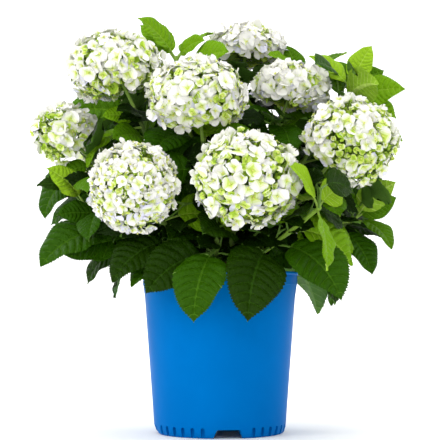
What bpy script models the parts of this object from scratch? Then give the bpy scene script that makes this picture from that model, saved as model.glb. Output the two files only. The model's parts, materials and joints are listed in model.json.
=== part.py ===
"""A mophead hydrangea in full flower, in the round plastic planter that it was grown in.

Metres, +Z up. The origin is the middle of the planter's flat underside, and -Y is the plant's front.

The planter is a turned shell with four arched gaps between its feet and six drainage slots in each
foot. It is filled with soil, and a short woody crown stands on the soil. Eight main canes spring from
that crown, side canes spring from them, and each cane ends where it enters its mass of foliage.

A shoot is one smooth curve from its foot to its tip. Its lower part is a bare cane and its upper part is
the stem of a foliage mass, which carries pairs of opposite leaves, each pair turned a quarter from the
last. A shoot that flowers ends in a head: a dense dome of florets on a stalk of its own.
A leaf that would leave its mass's space, or touch anything else, is tried a few other ways and is
otherwise left off.
"""

import math
import random
from collections import namedtuple
from itertools import zip_longest

import bmesh
import bpy
from mathutils import Vector
from mathutils.bvhtree import BVHTree

GAP = 0.0003  # the clearance between two nodes that meet

# ---------------------------------------------------------------- planter and soil
POT_HEIGHT = 0.2225
POT_SEGMENTS = 36
WALL = 0.0030
FLOOR = 0.0160  # top of the moulded bottom, above the feet
UNDERSIDE_RADIUS = 0.0860
FOOT_RADIUS = 0.0915
FOOT_HEIGHT = 0.0090
FOOT_CHAMFER = (0.0036, 0.0022)  # across and up
BODY_TOP_RADIUS = 0.1066
COLLAR_RADIUS = 0.1082
COLLAR_FOOT = 0.2046
COLLAR_STEP = 0.0008
LIP_RADIUS = 0.1180
LIP_FOOT = 0.2190
BRIM_INNER_RADIUS = 0.1050
BRIM_BEVEL = 0.0012

ARCHES = 4
ARCH_TURN = math.radians(-90 + 7.5)  # the direction of the first gap between two feet
ARCH_HALF_ANGLE_TOP = math.radians(9.5)
ARCH_HALF_ANGLE_FOOT = math.radians(14)
ARCH_HEIGHT = 0.0118
ARCH_DEPTH = 0.0280
SLOTS_PER_FOOT = 6
SLOT_SPACING = math.radians(9.2)
SLOT_WIDTH = 0.0056
SLOT_HEIGHT = 0.0140
SLOT_FLOOR_RADIUS = 0.0870
SLOT_ARC_STEPS = 2

SOIL_TOP = POT_HEIGHT - 0.0220
SOIL_EDGE = (0.0060, 0.0010)  # how far in the soil's flat top starts, and how far its edge lies below
CUT_PAST = 0.0020  # how far a cutter runs past the face that it cuts

# ---------------------------------------------------------------- wood
CROWN_FLARE_RADIUS = 0.030
CROWN_FLARE_NECK = (0.025, 0.004)  # the flare's radius halfway up it
CROWN_FLARE_HEIGHT = 0.008
CROWN_RADIUS = 0.023
CROWN_HEIGHT = 0.038
CROWN_SEGMENTS = 20
CROWN_STEPS = 6
CANE_RADIUS = 0.0046
TIP_RADIUS = 0.0026
SIDE_CANE_SHARE = 0.86  # a side cane's radius, as a share of its parent's there
SEAT_RAYS = 5
CANE_SIDES = 5
CANE_RINGS = 6
STEM_SIDES = 4
STEM_RINGS = 5
FOOT_REACH = 0.18  # how far a shoot's first and last directions hold, as shares of its span
TIP_REACH = 0.34
LEAN_CENTRE = Vector((0, 0, 0.20))  # shoots point away from here at their tips

# ---------------------------------------------------------------- leaves
PETIOLE_HALF_WIDTH = 0.0017
PETIOLE_SHARE = 0.20  # of a leaf's whole length
LEAF_WIDTH_SHARE = 0.68  # of the blade's length
LEAF_KEEL = 0.022  # the depth under the midrib, as a share of the blade's length
LEAF_FOLD = 0.16  # how far the edges stand above the midrib, as a share of half the width
LEAF_STATIONS = ((0.0, 0.06), (0.36, 1.0), (0.74, 0.66))  # (along the blade, share of half the width)
LEAF_WIDEST = 0.6  # the share of the whole leaf where its face is turned to the light
LEAF_CLEARANCE = 0.0012
LEAF_PAIR_SPACING = 0.030
FIRST_PAIR = 0.05  # the lowest pair's height above the cane, as a share of the shoot
LAST_PAIR = 0.95
LAST_LEAF = 0.985  # the share of a shoot above which no leaf springs
# A leaf's rise and droop in degrees and its whole length, on the lowest pair and on the highest.
LOW_LEAF = (-3, 58, 0.147)
HIGH_LEAF = (24, 58, 0.114)
BUD_LEAF = (56, 34, 0.078)  # the pair that ends a shoot with no flower head

LEAF_TRIES = 9
FIRST_STRAY = 0.35  # how far a leaf's first try strays from the rule, and how much more each later one
MORE_STRAY = 0.45
STRAY_ALONG = 0.0033
STRAY_TURN = 14
STRAY_RISE = 9
STRAY_DROOP = 12
STRAY_LENGTH = 0.06
STRAY_ROLL = 14
TRY_SHORTER = 0.03
LEAST_DROOP = 8
LIGHT_SPREAD = Vector((1.2, 2.2, 0))  # a leaf faces the light, out from this middle and up
LIGHT_MIDDLE = Vector((0, 0.055, 0))
LIGHT_ABOVE = Vector((0, 0, 0.11))
LEAF_MOST_ROLL = math.radians(62)
CROWN_CENTRE = Vector((-0.005, 0, 0.370))
CROWN_REACH = Vector((0.276, 0.264, 0.228))
CROWN_REACH_DOWN = 0.262
MASS_REACH = 0.200  # a mass's space, around the middle of its stem

# ---------------------------------------------------------------- flower heads
HEAD_CORE_SHARE = 0.83
HEAD_STALK = 0.014
STALK_INSIDE = 0.6  # how far into its head a stalk runs, as a share of the way to the middle
FLORETS = 20
SEPALS = 4
FLORET_SHARE = 0.33  # a floret's radius, as a share of its head's
FLORET_SUNK = 0.005  # how far inside the head's outline a floret's sepals lie
FLORET_ROOT = 0.015
FLORET_CREST = 0.005
BARE_UNDERSIDE = math.radians(48)  # no florets this close round the stalk

# A shoot's tip is its stem's end, or the middle of its flower head. A side shoot leaves its parent
# at a share of the parent's length. `turn` is the direction of the lowest pair of leaves, in degrees.
Shoot = namedtuple("Shoot", "name parent along tip head split turn")
SHOOTS = (
    Shoot("front", None, 62, (0.034, -0.165, 0.338), (0.0720, 0.0680, 0.0650), 0.34, -20),
    Shoot("left_front", None, 62, (-0.111, -0.150, 0.329), (0.0610, 0.0600, 0.0620), 0.34, -160),
    Shoot("right", None, 60, (0.174, -0.090, 0.396), (0.0670, 0.0650, 0.0630), 0.34, -60),
    Shoot("upper_right", None, 16, (0.101, -0.020, 0.481), (0.0550, 0.0560, 0.0380), 0.36, -40),
    Shoot("top_left", None, 44, (-0.146, -0.030, 0.507), (0.0710, 0.0680, 0.0540), 0.40, -115),
    Shoot("back_left", None, 56, (-0.135, 0.140, 0.510), (0.0580, 0.0580, 0.0470), 0.38, 150),
    Shoot("back", None, 46, (-0.010, 0.185, 0.455), (0.0640, 0.0620, 0.0540), 0.36, 60),
    Shoot("back_right", None, 58, (0.165, 0.128, 0.408), (0.0600, 0.0600, 0.0530), 0.34, 30),
    Shoot("upper_left", "front", 0.26, (-0.030, -0.100, 0.455), (0.0710, 0.0660, 0.0550), 0.30, -150),
    Shoot("top_back", "back", 0.28, (0.039, 0.070, 0.557), (0.0580, 0.0580, 0.0350), 0.30, 20),
    Shoot("far_left", "top_left", 0.32, (-0.219, 0.000, 0.419), (0.0500, 0.0500, 0.0430), 0.24, 170),
    Shoot("left_back", "back_left", 0.30, (-0.168, 0.160, 0.398), (0.0520, 0.0520, 0.0460), 0.26, 190),
    Shoot("low_back_left", "back", 0.20, (-0.065, 0.205, 0.335), (0.0580, 0.0540, 0.0520), 0.34, 110),
    Shoot("low_back_right", "back_right", 0.26, (0.085, 0.200, 0.335), (0.0580, 0.0540, 0.0520), 0.32, 60),
    Shoot("top_leaves", "top_left", 0.36, (-0.064, 0.010, 0.532), None, 0.30, -150),
    Shoot("top_right_leaves", "upper_right", 0.32, (0.118, 0.050, 0.508), None, 0.30, 10),
    Shoot("right_leaves", "right", 0.30, (0.190, 0.000, 0.486), None, 0.26, -80),
    Shoot("young_leaves", "right", 0.20, (0.128, -0.165, 0.302), None, 0.34, -130),
    Shoot("low_right_leaves", "back_right", 0.18, (0.195, 0.020, 0.300), None, 0.32, 60),
    Shoot("low_left_leaves", "left_front", 0.20, (-0.190, -0.030, 0.318), None, 0.46, 120),
    Shoot("low_front_leaves", "front", 0.18, (-0.004, -0.130, 0.262), None, 0.36, -90),
)

Plan = namedtuple("Plan", "curve radius cane")

# Leaves that are set by hand, because they make the plant's outline or hang over the planter:
# the shoot, the share of its length where the leaf springs, its direction, rise and droop in
# degrees, its whole length, and how far it is twisted from facing the light, in degrees.
SetLeaf = namedtuple("SetLeaf", "shoot at turn rise droop length twist", defaults=(0,))
SET_LEAVES = (
    SetLeaf("low_front_leaves", 0.82, -110, -22, 68, 0.129),
    SetLeaf("young_leaves", 0.50, -114, -6, 76, 0.154),
    SetLeaf("low_right_leaves", 0.62, -142, -13, 8, 0.105, -20),
    SetLeaf("young_leaves", 0.97, -78, -34, 52, 0.090, -38),
    SetLeaf("low_left_leaves", 0.58, 187, -10, 10, 0.118, -15),
    SetLeaf("left_front", 0.66, -150, 2, 62, 0.126),
    SetLeaf("left_front", 0.45, -140, -6, 36, 0.122, 28),
    SetLeaf("low_right_leaves", 0.60, -66, -16, 45, 0.130, -22),
    SetLeaf("low_right_leaves", 0.95, -119, -5, 58, 0.150),
    SetLeaf("low_right_leaves", 0.85, -38, -27, 45, 0.092, 35),
    SetLeaf("low_right_leaves", 0.97, -42, 0, 74, 0.080, 20),
    SetLeaf("low_right_leaves", 0.97, 14, 38, 20, 0.072),
    SetLeaf("top_left", 0.92, -166, 20, 30, 0.056),
    SetLeaf("top_left", 0.82, -128, 18, 44, 0.074, -45),
    SetLeaf("far_left", 0.94, 186, 0, 44, 0.068, -20),
    SetLeaf("far_left", 0.83, -150, -54, 20, 0.088, -30),
    SetLeaf("top_leaves", 0.97, 164, 60, 20, 0.084, 30),
    SetLeaf("top_leaves", 0.97, -34, 54, 62, 0.058),
    SetLeaf("upper_right", 0.93, -166, 12, 26, 0.072),
    SetLeaf("upper_right", 0.84, -62, -10, 46, 0.076),
    SetLeaf("top_right_leaves", 0.98, 150, 70, 14, 0.064, -70),
    SetLeaf("top_right_leaves", 0.98, -6, 44, 24, 0.080, -30),
    SetLeaf("right_leaves", 0.90, -8, 30, 36, 0.094, 15),
    SetLeaf("right_leaves", 0.98, 140, 66, 20, 0.056, -40),
    SetLeaf("far_left", 0.90, 176, 2, 84, 0.124, -30),
    SetLeaf("low_left_leaves", 0.84, -152, 12, 20, 0.072, -40),
    SetLeaf("low_right_leaves", 0.93, 25, 62, 22, 0.095, 20),
    SetLeaf("right_leaves", 0.90, 160, 76, 10, 0.094, -12),
    SetLeaf("right_leaves", 0.90, -10, 15, 60, 0.090, 20),
    SetLeaf("right_leaves", 0.97, 16, 44, 26, 0.060),
    SetLeaf("top_left", 0.88, -168, 8, 50, 0.108, 25),
    SetLeaf("top_left", 0.80, 100, 68, 20, 0.060),
    SetLeaf("upper_right", 0.97, 175, 25, 30, 0.068),
    SetLeaf("back_left", 0.93, -160, 27, 50, 0.140, -102),
    SetLeaf("low_right_leaves", 0.78, -92, -56, 24, 0.130, -30),
)

GREEN = (0.06, 0.16, 0.03, 1)
YOUNG_GREEN = (0.22, 0.42, 0.07, 1)
WHITE = (0.83, 0.84, 0.78, 1)
BARK = (0.20, 0.12, 0.06, 1)
SOIL = (0.045, 0.028, 0.018, 1)
BLUE = (0.0, 0.23, 0.63, 1)


def material(name, color, roughness):
    """A plain material, made once."""
    made = bpy.data.materials.get(name) or bpy.data.materials.new(name)
    made.use_nodes = True
    shader = made.node_tree.nodes["Principled BSDF"]
    shader.inputs["Base Color"].default_value = color
    shader.inputs["Roughness"].default_value = roughness
    made.diffuse_color = color
    return made


def solid(name, verts, faces, finish, smooth=False):
    """An object in the scene from points and faces, with its faces turned outwards."""
    mesh = bpy.data.meshes.new(name)
    mesh.from_pydata([tuple(v) for v in verts], [], faces)
    shape = bmesh.new()
    shape.from_mesh(mesh)
    bmesh.ops.recalc_face_normals(shape, faces=shape.faces)
    shape.to_mesh(mesh)
    shape.free()
    if smooth:
        mesh.shade_smooth()
        mesh.set_sharp_from_angle(angle=math.radians(35))
    mesh.materials.append(finish)
    obj = bpy.data.objects.new(name, mesh)
    bpy.context.scene.collection.objects.link(obj)
    return obj


def applied(obj, operation, cutters, solver="EXACT"):
    """Joins or cuts obj with the objects in a collection of their own, then removes them."""
    group = bpy.data.collections.new("tools")
    bpy.context.scene.collection.children.link(group)
    for tool in cutters:
        bpy.context.scene.collection.objects.unlink(tool)
        group.objects.link(tool)
    boolean = obj.modifiers.new("fuse", "BOOLEAN")
    boolean.operation = operation
    boolean.operand_type = "COLLECTION"
    boolean.collection = group
    boolean.solver = solver
    graph = bpy.context.evaluated_depsgraph_get()
    result = bpy.data.meshes.new_from_object(obj.evaluated_get(graph))
    obj.modifiers.clear()
    obj.data = result
    for tool in list(group.objects):
        bpy.data.objects.remove(tool)
    bpy.data.collections.remove(group)
    return obj


def rings_to_solid(rings, foot=None, tip=None):
    """Points and faces of a closed skin over rings of equal size, each end capped or drawn to a point."""
    sides = len(rings[0])
    verts = [point for ring in rings for point in ring]
    faces = []
    for low in range(0, len(verts) - sides, sides):
        for i in range(sides):
            j = (i + 1) % sides
            faces.append((low + i, low + j, low + sides + j, low + sides + i))
    last = len(verts) - sides
    for end, first, order in ((foot, 0, -1), (tip, last, 1)):
        loop = [first + i for i in range(sides)][::order]
        if end is None:
            faces.append(tuple(loop))
            continue
        verts.append(end)
        faces.extend((loop[i], loop[(i + 1) % sides], len(verts) - 1) for i in range(sides))
    return verts, faces


def halves(face):
    """Which corners make up each triangle of a face of three or four corners."""
    return ((0, 1, 2), (0, 2, 3)) if len(face) == 4 else ((0, 1, 2),)


def turned(profile, segments):
    """A closed turned shape from (radius, height) points that start and end on the axis."""
    rings = []
    for radius, height in profile[1:-1]:
        ring = []
        for step in range(segments):
            angle = 2 * math.pi * step / segments
            ring.append(Vector((radius * math.cos(angle), radius * math.sin(angle), height)))
        rings.append(ring)
    foot = Vector((0, 0, profile[0][1]))
    tip = Vector((0, 0, profile[-1][1]))
    return rings_to_solid(rings, foot, tip)


# ---------------------------------------------------------------- planter and soil
def body_radius(height):
    """The planter's outer radius where its wall is straight."""
    share = (height - FOOT_HEIGHT) / (COLLAR_FOOT - FOOT_HEIGHT)
    return FOOT_RADIUS + share * (BODY_TOP_RADIUS - FOOT_RADIUS)


def arch_cutter(turn):
    """The gap between two feet: a wedge that narrows upwards."""
    rings = []
    for radius in (UNDERSIDE_RADIUS - ARCH_DEPTH, LIP_RADIUS):
        ring = []
        for half, height in (
            (-ARCH_HALF_ANGLE_FOOT, -CUT_PAST),
            (ARCH_HALF_ANGLE_FOOT, -CUT_PAST),
            (ARCH_HALF_ANGLE_TOP, ARCH_HEIGHT),
            (-ARCH_HALF_ANGLE_TOP, ARCH_HEIGHT),
        ):
            angle = turn + half
            ring.append(Vector((radius * math.cos(angle), radius * math.sin(angle), height)))
        rings.append(ring)
    return rings_to_solid(rings)


def slot_cutter(turn):
    """A drainage slot: an upright bar with a round top."""
    outline = [(-SLOT_WIDTH / 2, -CUT_PAST), (SLOT_WIDTH / 2, -CUT_PAST)]
    for step in range(SLOT_ARC_STEPS + 1):
        angle = math.pi * step / SLOT_ARC_STEPS
        across = SLOT_WIDTH / 2 * math.cos(angle)
        outline.append((across, SLOT_HEIGHT - SLOT_WIDTH / 2 * (1 - math.sin(angle))))
    out = Vector((math.cos(turn), math.sin(turn), 0))
    side = Vector((-math.sin(turn), math.cos(turn), 0))
    rings = []
    for radius in (SLOT_FLOOR_RADIUS, LIP_RADIUS):
        rings.append([out * radius + side * across + Vector((0, 0, up)) for across, up in outline])
    return rings_to_solid(rings)


def make_pot():
    """The planter: a moulded shell with a collar and a flat lip, on four feet."""
    profile = (
        (0, 0),
        (UNDERSIDE_RADIUS, 0),
        (UNDERSIDE_RADIUS + FOOT_CHAMFER[0], FOOT_CHAMFER[1]),
        (FOOT_RADIUS, FOOT_HEIGHT),
        (BODY_TOP_RADIUS, COLLAR_FOOT),
        (COLLAR_RADIUS, COLLAR_FOOT + COLLAR_STEP),
        (COLLAR_RADIUS, LIP_FOOT),
        (LIP_RADIUS, LIP_FOOT),
        (LIP_RADIUS, POT_HEIGHT - BRIM_BEVEL),
        (LIP_RADIUS - BRIM_BEVEL, POT_HEIGHT),
        (BRIM_INNER_RADIUS + BRIM_BEVEL, POT_HEIGHT),
        (BRIM_INNER_RADIUS, POT_HEIGHT - BRIM_BEVEL),
        (body_radius(COLLAR_FOOT) - WALL, COLLAR_FOOT),
        (body_radius(FLOOR) - WALL, FLOOR),
        (0, FLOOR),
    )
    plastic = material("pot_blue_plastic", BLUE, 0.35)
    pot = solid("pot", *turned(profile, POT_SEGMENTS), plastic, smooth=True)
    cutters = []
    for arch in range(ARCHES):
        turn = ARCH_TURN + 2 * math.pi * arch / ARCHES
        cutters.append(solid("arch", *arch_cutter(turn), plastic))
        foot_middle = turn + math.pi / ARCHES
        for slot in range(SLOTS_PER_FOOT):
            shift = (slot - (SLOTS_PER_FOOT - 1) / 2) * SLOT_SPACING
            cutters.append(solid("slot", *slot_cutter(foot_middle + shift), plastic))
    return applied(pot, "DIFFERENCE", cutters)


def make_soil():
    """The soil: it fills the planter to just under the collar, two fingers below the brim."""
    low = FLOOR + GAP
    edge = body_radius(SOIL_TOP) - WALL - GAP
    profile = (
        (0, low),
        (body_radius(low) - WALL - GAP, low),
        (edge, SOIL_TOP - SOIL_EDGE[1]),
        (edge - SOIL_EDGE[0], SOIL_TOP),
        (0, SOIL_TOP),
    )
    # It has the planter's own segments, so that its flats lie along the planter's.
    return solid("soil", *turned(profile, POT_SEGMENTS), material("soil", SOIL, 0.95))


# ---------------------------------------------------------------- wood
def crown_point(azimuth, polar):
    """A point on the woody crown's dome and the direction straight out of it there."""
    out = Vector((math.cos(azimuth), math.sin(azimuth), 0))
    rise = CROWN_HEIGHT - CROWN_FLARE_HEIGHT
    flat = CROWN_RADIUS * math.sin(polar)
    up = rise * math.cos(polar)
    point = out * flat + Vector((0, 0, SOIL_TOP + GAP + CROWN_FLARE_HEIGHT + up))
    normal = out * (flat / CROWN_RADIUS**2) + Vector((0, 0, up / rise**2))
    return point, normal.normalized()


def make_stem_base():
    """The plant's short woody foot: flared at the flat cut on the soil, and domed on top."""
    base = SOIL_TOP + GAP
    neck, height = CROWN_FLARE_NECK
    profile = [(0, base), (CROWN_FLARE_RADIUS, base), (neck, base + height)]
    for step in range(CROWN_STEPS):
        point, _ = crown_point(0, math.pi / 2 * (1 - step / CROWN_STEPS))
        profile.append((point.x, point.z))
    profile.append((0, base + CROWN_HEIGHT))
    bark = material("bark", BARK, 0.8)
    return solid("stem_base", *turned(profile, CROWN_SEGMENTS), bark, smooth=True)


def bezier(points, t):
    """A cubic curve's place at t."""
    a, b, c, d = points
    s = 1 - t
    return a * s**3 + b * (3 * s * s * t) + c * (3 * s * t * t) + d * t**3


def heading(points, t):
    """A cubic curve's direction at t."""
    a, b, c, d = points
    s = 1 - t
    return ((b - a) * s * s + (c - b) * (2 * s * t) + (d - c) * t * t).normalized()


def head_depth(head, direction):
    """How far a flower head's core reaches from its middle, along a direction."""
    return HEAD_CORE_SHARE / math.sqrt(sum((direction[i] / head[i]) ** 2 for i in range(3)))


def tube(curve, start, stop, foot_radius, sides, rings):
    """A tapering round limb along part of a curve, with flat ends."""
    loops = []
    side = heading(curve, start).orthogonal().normalized()
    for step in range(rings):
        t = start + (stop - start) * step / (rings - 1)
        along = heading(curve, t)
        side = (side - along * side.dot(along)).normalized()
        over = along.cross(side)
        radius = foot_radius + (TIP_RADIUS - foot_radius) * t
        middle = bezier(curve, t)
        loop = []
        for i in range(sides):
            angle = 2 * math.pi * i / sides
            loop.append(middle + (side * math.cos(angle) + over * math.sin(angle)) * radius)
        loops.append(loop)
    return rings_to_solid(loops)


def gap_share(curve, t):
    """The step in t that moves GAP along a curve."""
    step = 0.001
    return GAP * step / (bezier(curve, t + step) - bezier(curve, t)).length


def seat_height(skin, middle, out, radius):
    """How far a limb's skin stands out from a point on its axis, under the flat foot of a side limb."""
    side = out.orthogonal().normalized()
    over = out.cross(side)
    height = 0
    for ring in range(SEAT_RAYS):
        for ray in range(2 * SEAT_RAYS):
            angle = math.pi * ray / SEAT_RAYS
            across = (side * math.cos(angle) + over * math.sin(angle)) * radius * ring / (SEAT_RAYS - 1)
            start = middle + across + out * 2 * CANE_RADIUS
            place, _, _, fall = skin.ray_cast(start, -out, 2 * CANE_RADIUS)
            if place:
                height = max(height, 2 * CANE_RADIUS - fall)
    return height


def plan_shoots():
    """Each shoot's curve, its radius at the foot, and its cane's points and faces."""
    plans = {}
    for shoot in SHOOTS:
        tip = Vector(shoot.tip)
        lean = (tip - LEAN_CENTRE).normalized()
        end = tip
        if shoot.head:
            end = tip - lean * (head_depth(shoot.head, lean) + HEAD_STALK)
        if shoot.parent is None:
            foot, out = crown_point(math.atan2(tip.y, tip.x), math.radians(shoot.along))
            radius = CANE_RADIUS
        else:
            parent = plans[shoot.parent]
            foot = bezier(parent.curve, shoot.along)
            along = heading(parent.curve, shoot.along)
            towards = end - foot
            out = (towards - along * towards.dot(along)).normalized()
            radius = (parent.radius + (TIP_RADIUS - parent.radius) * shoot.along) * SIDE_CANE_SHARE
            foot = foot + out * seat_height(BVHTree.FromPolygons(*parent.cane), foot, out, radius)
        foot = foot + out * GAP
        span = (end - foot).length
        curve = (foot, foot + out * FOOT_REACH * span, end - lean * TIP_REACH * span, end)
        cane = tube(curve, 0, shoot.split - gap_share(curve, shoot.split), radius, CANE_SIDES, CANE_RINGS)
        plans[shoot.name] = Plan(curve, radius, cane)
    return plans


# ---------------------------------------------------------------- leaves
Leaf = namedtuple("Leaf", "root turn rise droop roll length")


def leaf_place(leaf, s):
    """A leaf's midrib is an arc: its place, direction, side and upward normal at share s."""
    out = Vector((math.cos(leaf.turn), math.sin(leaf.turn), 0))
    pitch = leaf.rise - leaf.droop * s
    flat = (math.sin(leaf.rise) - math.sin(pitch)) / leaf.droop
    up = (math.cos(pitch) - math.cos(leaf.rise)) / leaf.droop
    place = leaf.root + (out * flat + Vector((0, 0, up))) * leaf.length
    along = out * math.cos(pitch) + Vector((0, 0, math.sin(pitch)))
    level = Vector((-math.sin(leaf.turn), math.cos(leaf.turn), 0))
    normal = along.cross(level)
    side = level * math.cos(leaf.roll) + normal * math.sin(leaf.roll)
    return place, along, side, along.cross(side)


def leaf_solid(leaf, grow=0.0, whole=True):
    """Points and faces of a leaf: a petiole and a keeled blade. grow swells it for a clearance test."""
    blade = leaf.length * (1 - PETIOLE_SHARE)
    half = blade * LEAF_WIDTH_SHARE / 2
    stations = [(0.0, PETIOLE_HALF_WIDTH * 0.8)] if whole else []
    for along, share in LEAF_STATIONS:
        s = PETIOLE_SHARE + along * (1 - PETIOLE_SHARE)
        stations.append((s, max(half * share, PETIOLE_HALF_WIDTH)))
    rings = []
    for s, width in stations:
        place, _, side, normal = leaf_place(leaf, s)
        narrow = width <= PETIOLE_HALF_WIDTH
        lift = width * (0.5 if narrow else LEAF_FOLD)
        keel = width * 0.9 if narrow else blade * LEAF_KEEL
        right = place + side * (width + grow) + normal * lift
        left = place - side * (width + grow) + normal * lift
        low = place - normal * (keel + grow)
        over = normal * grow
        ring = [right, left, low]
        if grow:
            ring = [right + over, left + over, left - over, low, right - over]
        rings.append(ring)
    tip, along, _, _ = leaf_place(leaf, 1)
    verts, faces = rings_to_solid(rings, tip=tip + along * grow)
    # A leaf's four-sided faces are twisted, so each is split the same way in the leaf and in its test.
    return verts, [tuple(face[i] for i in half) for face in faces for half in halves(face)]


def leaf_variant(key, attempt, curve, at, turn, rise, droop, length, twist):
    """One seeded way to hold a leaf: attempt 0 is nearly the plain rule, and later ones stray more."""
    dice = random.Random(f"{key}/{attempt}")
    stray = FIRST_STRAY + MORE_STRAY * attempt
    level = Leaf(
        bezier(curve, min(at + dice.uniform(0, STRAY_ALONG) * attempt, LAST_LEAF)),
        math.radians(turn + dice.uniform(-STRAY_TURN, STRAY_TURN) * stray),
        math.radians(rise + dice.uniform(-STRAY_RISE, STRAY_RISE) * stray),
        math.radians(max(droop + dice.uniform(-STRAY_DROOP, STRAY_DROOP) * stray, LEAST_DROOP)),
        0,
        length * (1 + dice.uniform(-STRAY_LENGTH, STRAY_LENGTH)) * (1 - TRY_SHORTER * attempt),
    )
    place, _, side, normal = leaf_place(level, LEAF_WIDEST)
    light = (place - LIGHT_MIDDLE) * LIGHT_SPREAD + LIGHT_ABOVE
    roll = math.atan2(-light.dot(side), light.dot(normal))
    roll = max(-LEAF_MOST_ROLL, min(LEAF_MOST_ROLL, roll))
    return level._replace(roll=roll + math.radians(twist + dice.uniform(-STRAY_ROLL, STRAY_ROLL)))


def leaf_pairs(shoot, curve):
    """Where a shoot's pairs of leaves spring, and how they are held: (share of the shoot, turn, habit)."""
    reach = (curve[3] - bezier(curve, shoot.split)).length
    count = max(round(reach / LEAF_PAIR_SPACING), 2)
    low = shoot.split + FIRST_PAIR
    high = LAST_PAIR if shoot.head else LAST_LEAF
    for pair in range(count):
        step = pair / (count - 1)
        habit = tuple(a + (b - a) * step for a, b in zip(LOW_LEAF, HIGH_LEAF))
        if pair == count - 1 and not shoot.head:
            habit = BUD_LEAF
        yield low + (high - low) * step, shoot.turn + 90 * pair, habit


def leaf_requests(plans):
    """Every leaf that the rule asks for: the set leaves, and then each shoot's pairs from the lowest up.

    Each is (shoot name, key, share of the shoot, turn, rise, droop, length, twist).
    """
    for number, leaf in enumerate(SET_LEAVES):
        yield leaf.shoot, f"set/{number}", *leaf[1:]
    rows = []
    for shoot in SHOOTS:
        rows.append([(shoot.name, *pair) for pair in leaf_pairs(shoot, plans[shoot.name].curve)])
    for level, pairs in enumerate(zip_longest(*rows)):
        for name, at, turn, habit in filter(None, pairs):
            for half in (0, 1):
                yield name, f"{name}/{level}/{half}", at, turn + 180 * half, *habit, 0


def in_space(points, middle):
    """Are all the points inside the crown's outline and near enough to their mass's middle?"""
    for point in points:
        across = point - CROWN_CENTRE
        height = across.z / (CROWN_REACH.z if across.z > 0 else CROWN_REACH_DOWN)
        if (across.x / CROWN_REACH.x) ** 2 + (across.y / CROWN_REACH.y) ** 2 + height**4 > 1:
            return False
        if (point - middle).length > MASS_REACH:
            return False
    return True


def tree(verts, faces):
    """A search tree over a shape, with the sphere that holds it."""
    low = Vector(min(v[i] for v in verts) for i in range(3))
    high = Vector(max(v[i] for v in verts) for i in range(3))
    return BVHTree.FromPolygons([tuple(v) for v in verts], faces), (low + high) / 2, (high - low).length / 2


def touches(shape, others):
    """Does a shape's skin cross that of any other?"""
    skin, middle, reach = shape
    for other, place, size in others:
        if (place - middle).length <= reach + size and skin.overlap(other):
            return True
    return False


def grow_leaves(plans, obstacles, stems):
    """Chooses how each leaf is held, and leaves off those that find no room: {shoot name: [Leaf]}."""
    kept = {shoot.name: [] for shoot in SHOOTS}
    blades = []
    petioles = {shoot.name: [] for shoot in SHOOTS}
    for name, key, at, *habit in leaf_requests(plans):
        curve = plans[name].curve
        split = next(shoot.split for shoot in SHOOTS if shoot.name == name)
        middle = bezier(curve, (split + 1) / 2)
        others = [stem for other, stem in stems.items() if other != name]
        for other, shapes in petioles.items():
            if other != name:
                others.extend(shapes)
        for attempt in range(LEAF_TRIES):
            leaf = leaf_variant(key, attempt, curve, at, *habit)
            verts, faces = leaf_solid(leaf, grow=LEAF_CLEARANCE)
            if not in_space(verts, middle):
                continue
            whole = tree(verts, faces)
            if touches(whole, obstacles + others + blades):
                continue
            blade = tree(*leaf_solid(leaf, grow=LEAF_CLEARANCE, whole=False))
            if touches(blade, [stems[name]] + petioles[name]):
                continue
            kept[name].append(leaf)
            blades.append(tree(*leaf_solid(leaf, whole=False)))
            petioles[name].append(tree(*leaf_solid(leaf)))
            break
    return kept


# ---------------------------------------------------------------- flower heads
def floret_directions(shoot, lean):
    """Even directions over a head, by the golden angle, with its underside left bare."""
    golden = math.pi * (3 - math.sqrt(5))
    first = random.Random(f"head/{shoot.name}").uniform(0, 2 * math.pi)
    for i in range(FLORETS):
        up = 1 - 2 * (i + 0.5) / FLORETS
        flat = math.sqrt(1 - up * up)
        out = Vector((flat * math.cos(first + golden * i), flat * math.sin(first + golden * i), up))
        if out.angle(-lean) > BARE_UNDERSIDE:
            yield out


def floret_solid(place, out, spin, radius):
    """A floret as eight faces: four sepal tips, a crest, and a root sunk in the head's core."""
    side = out.orthogonal().normalized()
    over = out.cross(side)
    ring = []
    for i in range(SEPALS):
        angle = spin + 2 * math.pi * i / SEPALS
        ring.append(place + (side * math.cos(angle) + over * math.sin(angle)) * radius)
    return rings_to_solid([ring], place - out * FLORET_ROOT, place + out * FLORET_CREST)


def head_parts(shoot, curve):
    """The stalk, the core and the florets of one flower head."""
    middle = Vector(shoot.tip)
    lean = heading(curve, 1)
    size = Vector(shoot.head)
    core = bmesh.new()
    bmesh.ops.create_icosphere(core, subdivisions=2, radius=HEAD_CORE_SHARE)
    for vert in core.verts:
        vert.co = middle + Vector(vert.co[i] * size[i] for i in range(3))
    core_verts = [vert.co.copy() for vert in core.verts]
    core_faces = [tuple(v.index for v in face.verts) for face in core.faces]
    core.free()
    foot = curve[3] + lean * GAP
    stalk_curve = [foot.lerp(middle, STALK_INSIDE * step / 3) for step in range(4)]
    stalk = tube(stalk_curve, 0, 1, TIP_RADIUS, STEM_SIDES, 2)
    florets = []
    dice = random.Random(f"spin/{shoot.name}")
    radius = FLORET_SHARE * sum(size) / 3
    for out in floret_directions(shoot, lean):
        place = middle + Vector(out[i] * (size[i] - FLORET_SUNK) for i in range(3))
        normal = Vector(out[i] / size[i] for i in range(3)).normalized()
        florets.append(floret_solid(place, normal, dice.uniform(0, 2 * math.pi / SEPALS), radius))
    return (core_verts, core_faces), stalk, florets


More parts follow.
